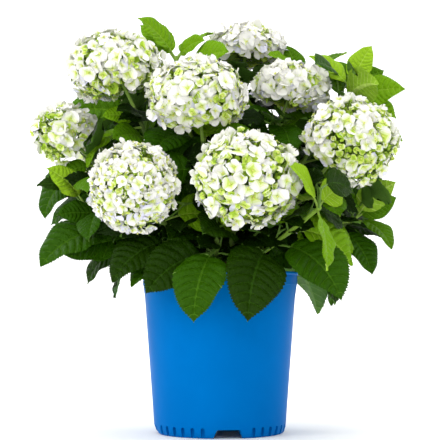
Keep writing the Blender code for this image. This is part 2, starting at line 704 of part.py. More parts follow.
def make_plant():
    """The canes, the masses of foliage and the flower heads."""
    plans = plan_shoots()
    bark = material("bark", BARK, 0.8)
    green = material("leaf_green", GREEN, 0.45)
    young = material("young_leaf_green", YOUNG_GREEN, 0.45)
    white = material("sepal_white", WHITE, 0.6)

    obstacles = []
    stems = {}
    for obj in bpy.context.scene.collection.objects:
        verts = [v.co for v in obj.data.vertices]
        obstacles.append(tree(verts, [tuple(p.vertices) for p in obj.data.polygons]))
    for shoot in SHOOTS:
        curve, radius, cane = plans[shoot.name]
        obstacles.append(tree(*cane))
        solid(f"cane_{shoot.name}", *cane, bark, smooth=True)
        stems[shoot.name] = tree(*tube(curve, shoot.split, 1, radius, STEM_SIDES, STEM_RINGS))

    for shoot in SHOOTS:
        if not shoot.head:
            continue
        core, stalk, florets = head_parts(shoot, plans[shoot.name].curve)
        head = solid(f"flower_head_{shoot.name}", *core, white)
        pieces = [solid("stalk", *stalk, white)]
        pieces.extend(solid("floret", *floret, white) for floret in florets)
        applied(head, "UNION", pieces)
        verts = [v.co for v in head.data.vertices]
        obstacles.append(tree(verts, [tuple(p.vertices) for p in head.data.polygons]))

    leaves = grow_leaves(plans, obstacles, stems)
    for shoot in SHOOTS:
        curve, radius, _ = plans[shoot.name]
        finish = young if shoot.name == "young_leaves" else green
        stem = tube(curve, shoot.split, 1, radius, STEM_SIDES, STEM_RINGS)
        mass = solid(f"foliage_{shoot.name}", *stem, finish)
        applied(mass, "UNION", [solid("leaf", *leaf_solid(leaf), finish) for leaf in leaves[shoot.name]])


def clear_scene():
    """Removes whatever the scene starts with."""
    for obj in list(bpy.data.objects):
        bpy.data.objects.remove(obj)


clear_scene()
make_pot()
make_soil()
make_stem_base()
make_plant()
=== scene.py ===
"""The looks of a mophead hydrangea in its planter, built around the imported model.

Metres, +Z up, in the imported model's own frame. The canes, the leaves and the flower heads grow by the
same rule as the model's solids do, from the same tables and seeds, and are carried on to toothed and
veined leaves, single florets with their stalks, and bark. A leaf is held the way that its solid is:
the rule's tries are made again, and the one kept is the one whose tip is a corner of the solid.
"""

import bisect
import json
import math
import random
from collections import namedtuple
from itertools import zip_longest

import bmesh
import bpy
import numpy as np
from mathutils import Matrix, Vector, kdtree, noise
from mathutils.bvhtree import BVHTree

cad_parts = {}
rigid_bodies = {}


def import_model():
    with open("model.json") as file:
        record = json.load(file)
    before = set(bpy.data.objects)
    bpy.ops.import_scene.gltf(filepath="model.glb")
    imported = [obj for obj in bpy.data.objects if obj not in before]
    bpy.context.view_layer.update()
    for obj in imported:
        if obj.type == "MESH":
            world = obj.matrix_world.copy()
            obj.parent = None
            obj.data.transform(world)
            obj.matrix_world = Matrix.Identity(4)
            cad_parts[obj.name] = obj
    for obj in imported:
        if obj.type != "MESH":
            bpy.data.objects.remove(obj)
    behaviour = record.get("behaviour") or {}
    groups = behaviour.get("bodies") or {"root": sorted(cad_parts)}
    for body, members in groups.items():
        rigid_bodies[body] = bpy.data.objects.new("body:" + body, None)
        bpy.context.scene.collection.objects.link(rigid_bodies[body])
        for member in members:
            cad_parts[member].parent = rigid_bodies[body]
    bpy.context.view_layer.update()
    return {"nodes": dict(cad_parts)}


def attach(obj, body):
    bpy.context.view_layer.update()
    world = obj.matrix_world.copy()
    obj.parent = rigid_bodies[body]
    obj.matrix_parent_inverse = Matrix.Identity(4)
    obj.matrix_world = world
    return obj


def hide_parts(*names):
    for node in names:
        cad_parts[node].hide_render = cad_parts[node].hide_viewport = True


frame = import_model()

GAP = 0.0003  # the clearance between two nodes that meet
GOLDEN = math.pi * (3 - math.sqrt(5))
STEEP = 0.9  # how much of a direction is upright before it counts as steep

# ---------------------------------------------------------------- planter and soil
POT_HEIGHT = 0.2225
POT_SEGMENTS = 192
WALL = 0.0026
FLOOR = 0.0160
FLOOR_THICKNESS = 0.0024
UNDERSIDE_RADIUS = 0.0860
UNDERSIDE_ROUND = ((0.0020, 0.0009), (0.0036, 0.0026))  # out from the underside's edge, and up
FOOT_RADIUS = 0.0915
FOOT_HEIGHT = 0.0090
FOOT_EDGE = (0.0006, 0.0018)  # how far in and how far below the foot's top its chamfer begins
BODY_STEPS = 12
BODY_TOP_RADIUS = 0.1066
COLLAR_RADIUS = 0.1082
COLLAR_FOOT = 0.2046
COLLAR_STEP = 0.0008
LIP_RADIUS = 0.1180
LIP_FOOT = 0.2190
LIP_ROUND = 0.0012
LIP_CHAMFER = 0.0008
BRIM_INNER_RADIUS = 0.1050
ROUND_STEPS = 4
COLLAR_ROUND_FROM = -70
POT_SHARP = 32

ARCHES = 4
ARCH_TURN = math.radians(-90 + 7.5)
ARCH_HALF_ANGLE_TOP = math.radians(9.5)
ARCH_HALF_ANGLE_FOOT = math.radians(14)
ARCH_HEIGHT = 0.0118
ARCH_DEPTH = 0.0120
SLOTS_PER_FOOT = 6
SLOT_SPACING = math.radians(9.2)
SLOT_WIDTH = 0.0056
SLOT_HEIGHT = 0.0140
SLOT_FLOOR_RADIUS = 0.0865
SLOT_ARC_STEPS = 10
CUT_PAST = 0.0020

SOIL_TOP = POT_HEIGHT - 0.0220
SOIL_SEGMENTS = 96
SOIL_RINGS = 22
SOIL_RING_POWER = 0.8  # below 1, the rings lie closer together towards the edge
SOIL_SINK = 0.0030  # how far the mix's mean level lies below its top
SOIL_ROUGHNESS = 0.0035
SOIL_LUMPS = ((1, 60), (0.5, 170))  # the share and the scale of each noise in its surface
CRUMBS = 520
CRUMB_SIZES = (0.0012, 0.0042)
CRUMB_SPREAD = 0.97
CRUMB_DEPTH = 0.0020
CRUMB_LUMPS = 0.25

# ---------------------------------------------------------------- wood
CROWN_FLARE_HEIGHT = 0.008
CROWN_FLARE_RADIUS = 0.030
CROWN_RADIUS = 0.023
CROWN_HEIGHT = 0.038
CROWN_SEGMENTS = 64
CROWN_STEPS = 20
CROWN_FOOT = ((0, 0), (0.0035, 0.0020))  # in from the flare, and up from the soil
CROWN_NECK = (0.0020, 0.0045)
KNUCKLES = ((0.07, 8, 40), (0.03, 19, 0))  # the share, the number round the crown and how they climb
CROWN_SHRINK = 0.08
CROWN_LUMPS = (0.12, 110)
CANE_RADIUS = 0.0046
TIP_RADIUS = 0.0026
SIDE_CANE_SHARE = 0.86
SEAT_RAYS = 5
CANE_SIDES = 5
CANE_RINGS = 6
FOOT_REACH = 0.18
TIP_REACH = 0.34
LEAN_CENTRE = Vector((0, 0, 0.20))

# The canes and the stems as carried on here. A swelling is its share of the radius and its reach.
CANE_SKIN = (46, 14)  # rings and sides
STEM_SKIN = (44, 12)
FOOT_SWELLING = (0.25, 0.030)
SCARS = 3
SCAR_STRAY = (0.5, 1.1)
SCAR_SWELLING = (0.28, 0.008)
NODE_SWELLING = (0.30, 0.012)
BARK_LUMPS = (0.00035, 260)

# ---------------------------------------------------------------- leaves, as the solids have them
PETIOLE_SHARE = 0.20
LEAF_WIDTH_SHARE = 0.68
LEAF_WIDEST = 0.6
LEAF_PAIR_SPACING = 0.030
FIRST_PAIR = 0.05
LAST_PAIR = 0.95
LAST_LEAF = 0.985
# How a shoot's lowest, highest and last leaves are held: rise and droop in degrees, and length.
LOW_LEAF = (-3, 58, 0.147)
HIGH_LEAF = (24, 58, 0.114)
BUD_LEAF = (56, 34, 0.078)

LEAF_TRIES = 9
FIRST_STRAY = 0.35
MORE_STRAY = 0.45
STRAY_ALONG = 0.0033
STRAY_TURN = 14
STRAY_RISE = 9
STRAY_DROOP = 12
STRAY_LENGTH = 0.06
STRAY_ROLL = 14
TRY_SHORTER = 0.03
LEAST_DROOP = 8
LIGHT_SPREAD = Vector((1.2, 2.2, 0))
LIGHT_MIDDLE = Vector((0, 0.055, 0))
LIGHT_ABOVE = Vector((0, 0, 0.11))
LEAF_MOST_ROLL = math.radians(62)
SAME_PLACE = 0.0003  # how near a leaf's tip lies to its solid's

# ---------------------------------------------------------------- flower heads, as the solids have them
HEAD_CORE_SHARE = 0.83
HEAD_STALK = 0.014
BARE_UNDERSIDE = math.radians(48)

# A shoot springs at a share along its parent or, without one, so many degrees down from the woody
# crown's top. Its tip is its own end or the middle of its flower head, and head is that head's half
# sizes. split is the share at which wood gives way to green stem, and turn is its first leaf's angle.
Shoot = namedtuple("Shoot", "name parent along tip head split turn")
SHOOTS = tuple(
    Shoot(*row)
    for row in (
        ("front", None, 62, (0.034, -0.165, 0.338), (0.0720, 0.0680, 0.0650), 0.34, -20),
        ("left_front", None, 62, (-0.111, -0.150, 0.329), (0.0610, 0.0600, 0.0620), 0.34, -160),
        ("right", None, 60, (0.174, -0.090, 0.396), (0.0670, 0.0650, 0.0630), 0.34, -60),
        ("upper_right", None, 16, (0.101, -0.020, 0.481), (0.0550, 0.0560, 0.0380), 0.36, -40),
        ("top_left", None, 44, (-0.146, -0.030, 0.507), (0.0710, 0.0680, 0.0540), 0.40, -115),
        ("back_left", None, 56, (-0.135, 0.140, 0.510), (0.0580, 0.0580, 0.0470), 0.38, 150),
        ("back", None, 46, (-0.010, 0.185, 0.455), (0.0640, 0.0620, 0.0540), 0.36, 60),
        ("back_right", None, 58, (0.165, 0.128, 0.408), (0.0600, 0.0600, 0.0530), 0.34, 30),
        ("upper_left", "front", 0.26, (-0.030, -0.100, 0.455), (0.0710, 0.0660, 0.0550), 0.30, -150),
        ("top_back", "back", 0.28, (0.039, 0.070, 0.557), (0.0580, 0.0580, 0.0350), 0.30, 20),
        ("far_left", "top_left", 0.32, (-0.219, 0.000, 0.419), (0.0500, 0.0500, 0.0430), 0.24, 170),
        ("left_back", "back_left", 0.30, (-0.168, 0.160, 0.398), (0.0520, 0.0520, 0.0460), 0.26, 190),
        ("low_back_left", "back", 0.20, (-0.065, 0.205, 0.335), (0.0580, 0.0540, 0.0520), 0.34, 110),
        ("low_back_right", "back_right", 0.26, (0.085, 0.200, 0.335), (0.0580, 0.0540, 0.0520), 0.32, 60),
        ("top_leaves", "top_left", 0.36, (-0.064, 0.010, 0.532), None, 0.30, -150),
        ("top_right_leaves", "upper_right", 0.32, (0.118, 0.050, 0.508), None, 0.30, 10),
        ("right_leaves", "right", 0.30, (0.190, 0.000, 0.486), None, 0.26, -80),
        ("young_leaves", "right", 0.20, (0.128, -0.165, 0.302), None, 0.34, -130),
        ("low_right_leaves", "back_right", 0.18, (0.195, 0.020, 0.300), None, 0.32, 60),
        ("low_left_leaves", "left_front", 0.20, (-0.190, -0.030, 0.318), None, 0.46, 120),
        ("low_front_leaves", "front", 0.18, (-0.004, -0.130, 0.262), None, 0.36, -90),
    )
)
SHOOT_NAMED = {shoot.name: shoot for shoot in SHOOTS}
Plan = namedtuple("Plan", "curve radius cane")

# A leaf given one by one: where along its shoot it springs, its angles in degrees, its length and, here,
# its tone, which is its place in TONES.
DEEP, MID, FRESH, YOUNG = range(1, 5)
SetLeaf = namedtuple("SetLeaf", "shoot at turn rise droop length twist tone")
SET_LEAVES = tuple(
    SetLeaf(*row)
    for row in (
        ("low_front_leaves", 0.82, -110, -22, 68, 0.129, 0, MID),
        ("young_leaves", 0.50, -114, -6, 76, 0.154, 0, DEEP),
        ("low_right_leaves", 0.62, -142, -13, 8, 0.105, -20, MID),
        ("young_leaves", 0.97, -78, -34, 52, 0.090, -38, YOUNG),
        ("low_left_leaves", 0.58, 187, -10, 10, 0.118, -15, MID),
        ("left_front", 0.66, -150, 2, 62, 0.126, 0, DEEP),
        ("left_front", 0.45, -140, -6, 36, 0.122, 28, MID),
        ("low_right_leaves", 0.60, -66, -16, 45, 0.130, -22, DEEP),
        # This leaf's young tone is painted light: it is one tone lighter to make up for the shadow that
        # the heads cast on it.
        ("low_right_leaves", 0.95, -119, -5, 58, 0.150, 0, YOUNG),
        ("low_right_leaves", 0.85, -38, -27, 45, 0.092, 35, MID),
        ("low_right_leaves", 0.97, -42, 0, 74, 0.080, 20, FRESH),
        ("low_right_leaves", 0.97, 14, 38, 20, 0.072, 0, FRESH),
        ("top_left", 0.92, -166, 20, 30, 0.056, 0, YOUNG),
        ("top_left", 0.82, -128, 18, 44, 0.074, -45, FRESH),
        ("far_left", 0.94, 186, 0, 44, 0.068, -20, FRESH),
        ("far_left", 0.83, -150, -54, 20, 0.088, -30, MID),
        ("top_leaves", 0.97, 164, 60, 20, 0.084, 30, YOUNG),
        ("top_leaves", 0.97, -34, 54, 62, 0.058, 0, YOUNG),
        ("upper_right", 0.93, -166, 12, 26, 0.072, 0, MID),
        ("upper_right", 0.84, -62, -10, 46, 0.076, 0, MID),
        ("top_right_leaves", 0.98, 150, 70, 14, 0.064, -70, FRESH),
        ("top_right_leaves", 0.98, -6, 44, 24, 0.080, -30, FRESH),
        ("right_leaves", 0.90, -8, 30, 36, 0.094, 15, YOUNG),
        ("right_leaves", 0.98, 140, 66, 20, 0.056, -40, FRESH),
        ("far_left", 0.90, 176, 2, 84, 0.124, -30, MID),
        ("low_left_leaves", 0.84, -152, 12, 20, 0.072, -40, MID),
        ("low_right_leaves", 0.93, 25, 62, 22, 0.095, 20, MID),
        ("right_leaves", 0.90, 160, 76, 10, 0.094, -12, FRESH),
        ("right_leaves", 0.90, -10, 15, 60, 0.090, 20, YOUNG),
        ("right_leaves", 0.97, 16, 44, 26, 0.060, 0, FRESH),
        ("top_left", 0.88, -168, 8, 50, 0.108, 25, YOUNG),
        ("top_left", 0.80, 100, 68, 20, 0.060, 0, FRESH),
        ("upper_right", 0.97, 175, 25, 30, 0.068, 0, MID),
        ("back_left", 0.93, -160, 27, 50, 0.140, -102, FRESH),
        ("low_right_leaves", 0.78, -92, -56, 24, 0.130, -30, MID),
    )
)

# ---------------------------------------------------------------- leaves, as carried on here
VEIN_SWEEP = 0.32  # how far forward the side veins run, as a share of the blade
VEIN_CURVE = 1.3
VEIN_BASE = 0.35
VEIN_END = 0.9  # side veins end at this share of the way to the edge
VEIN_HALF = 0.10  # half a side vein's width below, as a share of the way to the next
OUTLINE = (0.60, 0.95)  # the powers of the share from the base and from the tip
TIP_WIDTH = 0.006
TIP_WAIST = 0.4  # how much the drawn-out tip is drawn in, and how far it reaches
TIP_WAIST_REACH = 0.09
BASE_WIDTH = 0.045
BASE_TAPER = 8
BLADE_RISE = 0.30  # of the edge above the midrib, as a share of half the width, and how it levels off
BLADE_LEVEL = 0.17
QUILT = 0.026  # how far the blade swells between its veins, as a share of its length
QUILT_ROUND = (0.8, 0.6)  # the powers that square it off along the blade and across
QUILT_ENDS = (0.1, 0.2)  # the shares over which it rises at the blade's base and falls at its tip
TOOTH = 0.015
TOOTH_NOTCH = -0.35
TOOTH_LEAN = 0.6
TOOTH_BARE = 0.16  # the share of the edge at the base that has no teeth
TOOTH_ENDS = (0.2, 0.1)  # the shares over which they grow and dwindle
WAVE = 0.022
WAVES = (1.6, 3.0)
WAVE_SHIFT = 1.3
BLADE_THICKNESS = 0.0005
MIDRIB_DEPTH = 0.0012
MIDRIB_TAPER = 6
MIDRIB_HALF = 0.04
UNDER_MIDRIB_HALF = 0.06
UNDER_VEIN_DEPTH = 0.0007
PETIOLE_RADII = (0.0019, 0.0012)
PETIOLE_FLARE = 1.5
PETIOLE_SINK = 0.0006
PETIOLE_REACH = 1.12  # how far into the blade the stalk runs, as a share of the stalk
LEAF_STALK_SKIN = (7, 7)
SMALL_STALK_SKIN = (4, 5)
SAMPLES = (9, 7)  # along a leaf's blade and across it
FRONT_SIDE = 0.03  # shoots whose tips lie further back than this bear the back leaves

# How much younger than the others a shoot's leaves are, and how young a leaf of each tone is at most.
TONE_AGES = {
    "top_leaves": 0.50,
    "top_right_leaves": 0.40,
    "right_leaves": 0.62,
    "young_leaves": 0.60,
    "low_right_leaves": 0.78,
    "low_left_leaves": 0.35,
    "low_front_leaves": -0.60,
}
# A leaf whose age falls below the first limit takes the first tone, which is painted shade.
TONE_LIMITS = (-0.10, 0.30, 0.85, 1.20, 1.55)
TONE_STRAY = 0.35

# Small side twigs in the leaves' axils. A leaf of theirs springs at a share of the twig, and is spun
# so many degrees round it.
TWIG_LENGTH = (0.022, 0.050)
TWIG_STRAY = (-50, 50)
TWIG_RISE = (20, 65)
TWIG_DROOP = -0.4
TWIG_RINGS = 7
TWIG_SIDES = 6
TWIG_RADII = (0.0017, 0.0011)
TWIG_LEAVES = ((0.55, 60), (0.55, -60), (1.0, 10), (1.0, 170), (1.0, -90))
TWIG_LEAF_STRAY = (-35, 35)
TWIG_LEAF_RISE = (0, 40)
TWIG_LEAF_DROOP = (25, 70)
TWIG_LEAF_LENGTH = (0.052, 0.100)
TWIG_TRIES = 6
TWIG_REACH = 0.90  # the share of the crown's reach that their leaves keep to
TWIG_TOP = 0.525  # the height that they keep below
HEAD_CLEARANCE = 1.1

# Small leaves that close gaps of the rule: the shoot, the share along it, turn, rise and length.
GAP_LEAVES = (
    ("left_front", 0.91, 180, 15, 0.095),
    ("right", 0.91, 0, -5, 0.075),
    ("back_right", 0.85, 20, -5, 0.095),
    ("top_back", 0.91, 280, 35, 0.075),
    ("top_right_leaves", 0.73, 80, 35, 0.075),
    ("right_leaves", 0.79, 220, -5, 0.075),
)
GAP_LEAF_DROOP = math.radians(45)

# The middle of the plant's leaves and heads, and how far they reach from it.
CROWN_CENTRE = Vector((-0.005, 0, 0.370))
CROWN_REACH = Vector((0.276, 0.264, 0.228))
CROWN_REACH_DOWN = 0.262
CELL = 0.009  # the size of the cells in which leaves are kept from crossing
CROSSINGS = 3
# Small leaves are toned by where they sit, as painted shade and light: darker towards the crown's middle,
# where shade falls, and lighter higher up and further out, where light falls.
SMALL_LEAF_SHADE_STEPS = (0.60, 0.85, 1.10)  # painted shade and light: for each tone but the last, the most that a small leaf's reach from the crown's middle, raised by its height, may be
SMALL_LEAF_STRAY = 0.25
SMALL_LEAF_TOP_LIGHT = 0.35

# ---------------------------------------------------------------- florets
# The net of a sepal: the shares of its length, its half widths there, and its columns from edge to edge.
Net = namedtuple("Net", "along half_widths across")
FINE_NET = Net(
    (0.07, 0.26, 0.46, 0.66, 0.86, 1.0),
    (0.14, 0.42, 0.62, 0.63, 0.41, 0.07),
    (-1, -0.55, 0, 0.55, 1),
)
PLAIN_NET = Net((0.07, 0.40, 0.76, 1.0), (0.14, 0.58, 0.54, 0.08), (-1, 0, 1))

# How sepals are held. Angles are in degrees: a mean and a spread over the florets, and each sepal's
# own stray. Lengths are shares of the floret's radius, and breadths of what the net has.
SEPALS = 4
SEPAL_OPENED = (19, 12)
SEPAL_CURL = (-12, 20)
SEPAL_PITCH_STRAY = 9
SEPAL_CURL_STRAY = 12
SEPAL_TWIST = 13
INNER_PAIR_DROP = 6
SEPAL_SPACING_STRAY = 0.16  # in radians
SEPAL_LENGTHS = (0.84, 1.14)
SEPAL_BREADTHS = (0.86, 1.16)
SEPAL_CUP = (-0.10, 0.26)
RUFFLE = (0.09, 2.6)  # a wave's height and how close it is
FINE_RUFFLE = (0.05, 5.2)
UNRIPE_SIZE = 0.56  # an unripe floret's size, how many degrees further shut it is, and how much greener
UNRIPE_SHUT = 24
UNRIPE_GREEN = 0.5

# How florets sit on a head.
FLORET_DEPTH = (-0.10, 0.0, 0.05)  # least, usual and most, as shares of the head's half sizes
FLORET_TILT = 0.24
FLORET_SIZES = (0.78, 1.18)
FLORET_SINK = 0.003
EYE_RADIUS = 0.0016
EYE_RISE = 0.0022
GREEN_SHARES = (0.1, 1.3)  # of the head's own greenness
GREENER_BELOW = 0.1
SEPAL_GREEN_STRAY = 0.09
# Florets that point lower than this face down into shade, and some of their white sepals get lilac as
# painted shade.
SHADED_FLORET_HEIGHT = -0.2
LILAC_SHADE_SHARES = (0.22, 0.01)  # the shares of white sepals given painted lilac shade, of low florets and of others

# A head's stalk forks below its middle. How far below is a share of its least half size.
FORK_DROP = 0.30
BRANCHES = 16
BRANCH_DROP = 0.20
BRANCH_SPREAD = 0.45
BRANCH_RADII = (0.0013, 0.0008)
BRANCH_SKIN = (4, 6)
TRUNK_TAPER = 0.8
TRUNK_SKIN = (6, 10)
HUB_DROP = 0.35
HUB_SPREAD = 0.30
PEDICEL_SAG = 0.003
PEDICEL_RADIUS = 0.0006
PEDICEL_SIDES = 3

# Each head's florets, their radius and how green they still are.
HeadLook = namedtuple("HeadLook", "florets radius green")
PLAIN_HEAD = HeadLook(130, 0.0135, 0.22)
HEAD_LOOKS = {
    "front": HeadLook(190, 0.0122, 0.30),
    "left_front": HeadLook(330, 0.0086, 0.18),
    "right": HeadLook(230, 0.0104, 0.34),
    "upper_left": HeadLook(180, 0.0122, 0.20),
    "upper_right": HeadLook(140, 0.0124, 0.10),
    "top_left": HeadLook(190, 0.0112, 0.24),
    "top_back": HeadLook(124, 0.0130, 0.0),
    "far_left": HeadLook(100, 0.0118, 0.30),
}


# ---------------------------------------------------------------- finishes
def srgb(red, green, blue):
    """A colour given in 0 to 255, as the shader wants it."""
    parts = []
    for value in (red, green, blue):
        share = value / 255
        parts.append(share / 12.92 if share <= 0.04045 else ((share + 0.055) / 1.055) ** 2.4)
    return (*parts, 1.0)


NOISE = "ShaderNodeTexNoise"
CELLS = "ShaderNodeTexVoronoi"
PATTERN_LOW = 0.3  # a pattern's values mostly lie between these
PATTERN_HIGH = 0.7


class Finish:
    """A material in the making, with the few node patterns that the surfaces here need."""

    def __init__(self, name, color, roughness, specular):
        self.material = bpy.data.materials.new(name)
        self.material.use_nodes = True
        self.tree = self.material.node_tree
        self.shader = self.tree.nodes["Principled BSDF"]
        self.color = color
        self.material.diffuse_color = color
        self.set("Base Color", color)
        self.set("Roughness", roughness)
        self.set("Specular IOR Level", specular)

    def feed(self, socket, value):
        """Sets a socket, or links it to the output that feeds it."""
        if isinstance(value, bpy.types.NodeSocket):
            self.tree.links.new(value, socket)
        else:
            socket.default_value = value

    def set(self, socket, value):
        """Sets or feeds one of the shader's own sockets."""
        self.feed(self.shader.inputs[socket], value)

    def node(self, kind, output, data_type=None, **inputs):
        """A new node's output, with its inputs set or fed."""
        made = self.tree.nodes.new(kind)
        if data_type:
            made.data_type = data_type
        for name, value in inputs.items():
            self.feed(made.inputs[name.replace("_", " ")], value)
        return made.outputs[output]

    def pattern(self, kind, scale, detail=3, stretch=(1, 1, 1)):
        """A noise or a cell pattern over the object's own space."""
        place = self.node("ShaderNodeTexCoord", "Object")
        place = self.node("ShaderNodeMapping", "Vector", Vector=place, Scale=stretch)
        output = "Distance" if kind == CELLS else "Fac"
        return self.node(kind, output, Vector=place, Scale=scale, Detail=detail)

    def ramp(self, source, low, high):
        """A number that runs from low to high as the pattern runs from its lows to its highs."""
        ends = {"From_Min": PATTERN_LOW, "From_Max": PATTERN_HIGH, "To_Min": low, "To_Max": high}
        return self.node("ShaderNodeMapRange", "Result", Value=source, **ends)

    def gloss(self, source, low, high):
        """Roughness that follows a pattern."""
        self.set("Roughness", self.ramp(source, low, high))

    def tint(self, source, other, share):
        """Base colour that strays towards another colour by a pattern."""
        share = self.ramp(source, 0, share)
        mixed = self.node("ShaderNodeMix", "Result", "RGBA", A=self.color, B=other, Factor=share)
        self.set("Base Color", mixed)

    def relief(self, source, depth, strength):
        """Bump by a pattern, depth metres deep."""
        bump = self.node("ShaderNodeBump", "Normal", Distance=depth, Strength=strength, Height=source)
        self.set("Normal", bump)


def leaf_finish(name, color, roughness):
    """A leaf's skin: slightly glossy, with a fine net of veins in its relief."""
    finish = Finish(name, color, roughness, specular=0.06)
    finish.gloss(finish.pattern(NOISE, scale=160), roughness - 0.06, roughness + 0.10)
    finish.relief(finish.pattern(CELLS, scale=210), depth=0.0012, strength=0.8)
    return finish.material


def petal_finish(name, color):
    """A sepal's skin: matt, with a faint crinkle, and thin enough for light to soak through."""
    finish = Finish(name, color, roughness=0.62, specular=0.2)
    finish.set("Subsurface Weight", 0.35)
    finish.set("Subsurface Radius", (1.0, 1.0, 0.8))
    finish.set("Subsurface Scale", 0.004)
    finish.gloss(finish.pattern(NOISE, scale=300), 0.55, 0.72)
    finish.relief(finish.pattern(NOISE, scale=420, detail=2), depth=0.0004, strength=0.4)
    return finish.material


def stem_finish(name, color):
    """A green stem's skin, finely ribbed along its length."""
    finish = Finish(name, color, roughness=0.5, specular=0.3)
    finish.gloss(finish.pattern(NOISE, scale=90, detail=4, stretch=(1, 1, 0.3)), 0.42, 0.62)
    ribs = finish.pattern(NOISE, scale=350, stretch=(1, 1, 0.25))
    finish.relief(ribs, depth=0.0003, strength=0.5)
    return finish.material


def bark_finish():
    """Papery brown bark with long cracks."""
    finish = Finish("bark", srgb(112, 84, 58), roughness=0.85, specular=0.3)
    streaks = finish.pattern(NOISE, scale=120, detail=6, stretch=(1, 1, 0.22))
    finish.tint(streaks, srgb(58, 40, 26), share=0.9)
    cracks = finish.pattern(NOISE, scale=260, detail=6, stretch=(1, 1, 0.18))
    finish.relief(cracks, depth=0.0010, strength=0.9)
    return finish.material


def soil_finish():
    """Dark moist potting mix."""
    finish = Finish("soil", srgb(46, 35, 26), roughness=0.95, specular=0.2)
    finish.tint(finish.pattern(NOISE, scale=140, detail=6), srgb(86, 66, 46), share=0.8)
    finish.relief(finish.pattern(NOISE, scale=420, detail=6), depth=0.0015, strength=1.0)
    return finish.material


def pot_finish():
    """Blue moulded plastic: satin, faintly mottled, with a fine skin and a few dull scuffs."""
    finish = Finish("pot_blue_plastic", srgb(0, 108, 186), roughness=0.42, specular=0.015)
    finish.set("Specular Tint", srgb(0, 110, 220))
    finish.tint(finish.pattern(NOISE, scale=9, detail=4), srgb(0, 98, 172), share=0.7)
    finish.gloss(finish.pattern(NOISE, scale=26, detail=8, stretch=(1, 1, 0.35)), 0.30, 0.42)
    finish.relief(finish.pattern(NOISE, scale=900, detail=2), depth=0.00010, strength=0.3)
    return finish.material


# The tones that a leaf may have: the blade's colour, its veins' colour and its roughness.
TONES = (
    # The first tone is painted shade: a darker green that stands in for the shade deep in the crown, not
    # a colour that the leaf has.
    ("inner", (16, 36, 0), (26, 48, 4), 0.42),
    ("deep", (28, 54, 0), (44, 76, 12), 0.36),
    ("mid", (42, 80, 0), (64, 104, 16), 0.42),
    ("fresh", (72, 114, 4), (96, 138, 28), 0.46),
    ("young", (106, 150, 12), (132, 170, 44), 0.48),
    ("lime", (140, 180, 34), (164, 198, 70), 0.50),
)
VEIN_DULLER = 0.06
UNDERSIDE = 2 * len(TONES)  # the first underside's place among a leaf's finishes
UNDERSIDES = (
    ("leaf_underside", (92, 130, 52), 0.62),
    ("underside_vein", (122, 156, 76), 0.66),
    ("young_leaf_underside", (138, 178, 48), 0.62),
    ("young_underside_vein", (172, 202, 92), 0.66),
)


def leaf_finishes():
    """Blade and vein for each tone in turn, and last the same for old and young leaves' undersides."""
    made = []
    for name, blade, vein, roughness in TONES:
        made.append(leaf_finish(f"leaf_{name}", srgb(*blade), roughness))
        made.append(leaf_finish(f"vein_{name}", srgb(*vein), roughness + VEIN_DULLER))
    for name, color, roughness in UNDERSIDES:
        made.append(leaf_finish(name, srgb(*color), roughness))
    return made


WHITE, CREAM, PALE, GREENISH, GREEN, LILAC_SHADE, EYE = range(7)
TINT_AGES = ((CREAM, 0.30), (PALE, 0.12), (GREENISH, -0.10), (GREEN, -0.42))
FLOWER_TINTS = (
    ("sepal_white", (240, 239, 234)),
    ("sepal_cream", (234, 238, 216)),
    ("sepal_pale_green", (224, 236, 172)),
    ("sepal_greenish", (204, 226, 104)),
    ("sepal_green", (168, 204, 56)),
    # Lilac is painted shade: the cool tint that white sepals take in the shade under a head.
    ("sepal_lilac", (226, 226, 244)),
    ("floret_eye", (206, 210, 112)),
)


# ---------------------------------------------------------------- joined pieces
class Pile:
    """One joined piece in the making: its points, its faces and each face's finish."""

    def __init__(self):
        self.points, self.faces, self.finishes = [], [], []
        self.count = 0

    def add(self, points, faces, finish=0):
        """Adds a patch, or many alike: points is (..., n, 3), and faces (m, 4) with -1 for no corner."""
        each = points.shape[-2]
        points = points.reshape(-1, each, 3)
        shift = self.count + each * np.arange(len(points))[:, None, None]
        self.faces.append(np.where(faces < 0, -1, faces + shift).reshape(-1, 4))
        self.finishes.append(np.broadcast_to(finish, (len(points), len(faces))).reshape(-1))
        self.points.append(points.reshape(-1, 3))
        self.count += len(points) * each

    def piece(self, name, finishes, slot, nodes, sharp=60):
        """The finished object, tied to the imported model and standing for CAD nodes.

        Edges that turn by more than sharp degrees stay sharp.
        """
        faces = np.concatenate(self.faces)
        corners = faces[faces >= 0]
        totals = (faces >= 0).sum(axis=1)
        mesh = bpy.data.meshes.new(name)
        mesh.vertices.add(self.count)
        mesh.vertices.foreach_set("co", np.concatenate(self.points).ravel())
        mesh.loops.add(len(corners))
        mesh.loops.foreach_set("vertex_index", corners)
        mesh.polygons.add(len(faces))
        mesh.polygons.foreach_set("loop_start", np.cumsum(totals) - totals)
        mesh.polygons.foreach_set("material_index", np.concatenate(self.finishes).astype(np.int32))
        for finish in finishes:
            mesh.materials.append(finish)
        mesh.update(calc_edges=True)
        mesh.validate()
        mesh.shade_smooth()
        mesh.set_sharp_from_angle(angle=math.radians(sharp))
        obj = placed(name, mesh)
        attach(obj, "root")
        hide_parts(*nodes)
        return obj


def placed(name, data):
    """A new object in the scene."""
    obj = bpy.data.objects.new(name, data)
    bpy.context.scene.collection.objects.link(obj)
    return obj


def grid_faces(rows, columns, around=False):
    """Four-cornered faces over a grid of points, closed round its columns if asked."""
    across = columns if around else columns - 1
    row, column = np.meshgrid(np.arange(rows - 1), np.arange(across), indexing="ij")
    after = (column + 1) % columns
    low, high = row * columns, (row + 1) * columns
    return np.stack((low + column, low + after, high + after, high + column), axis=-1).reshape(-1, 4)


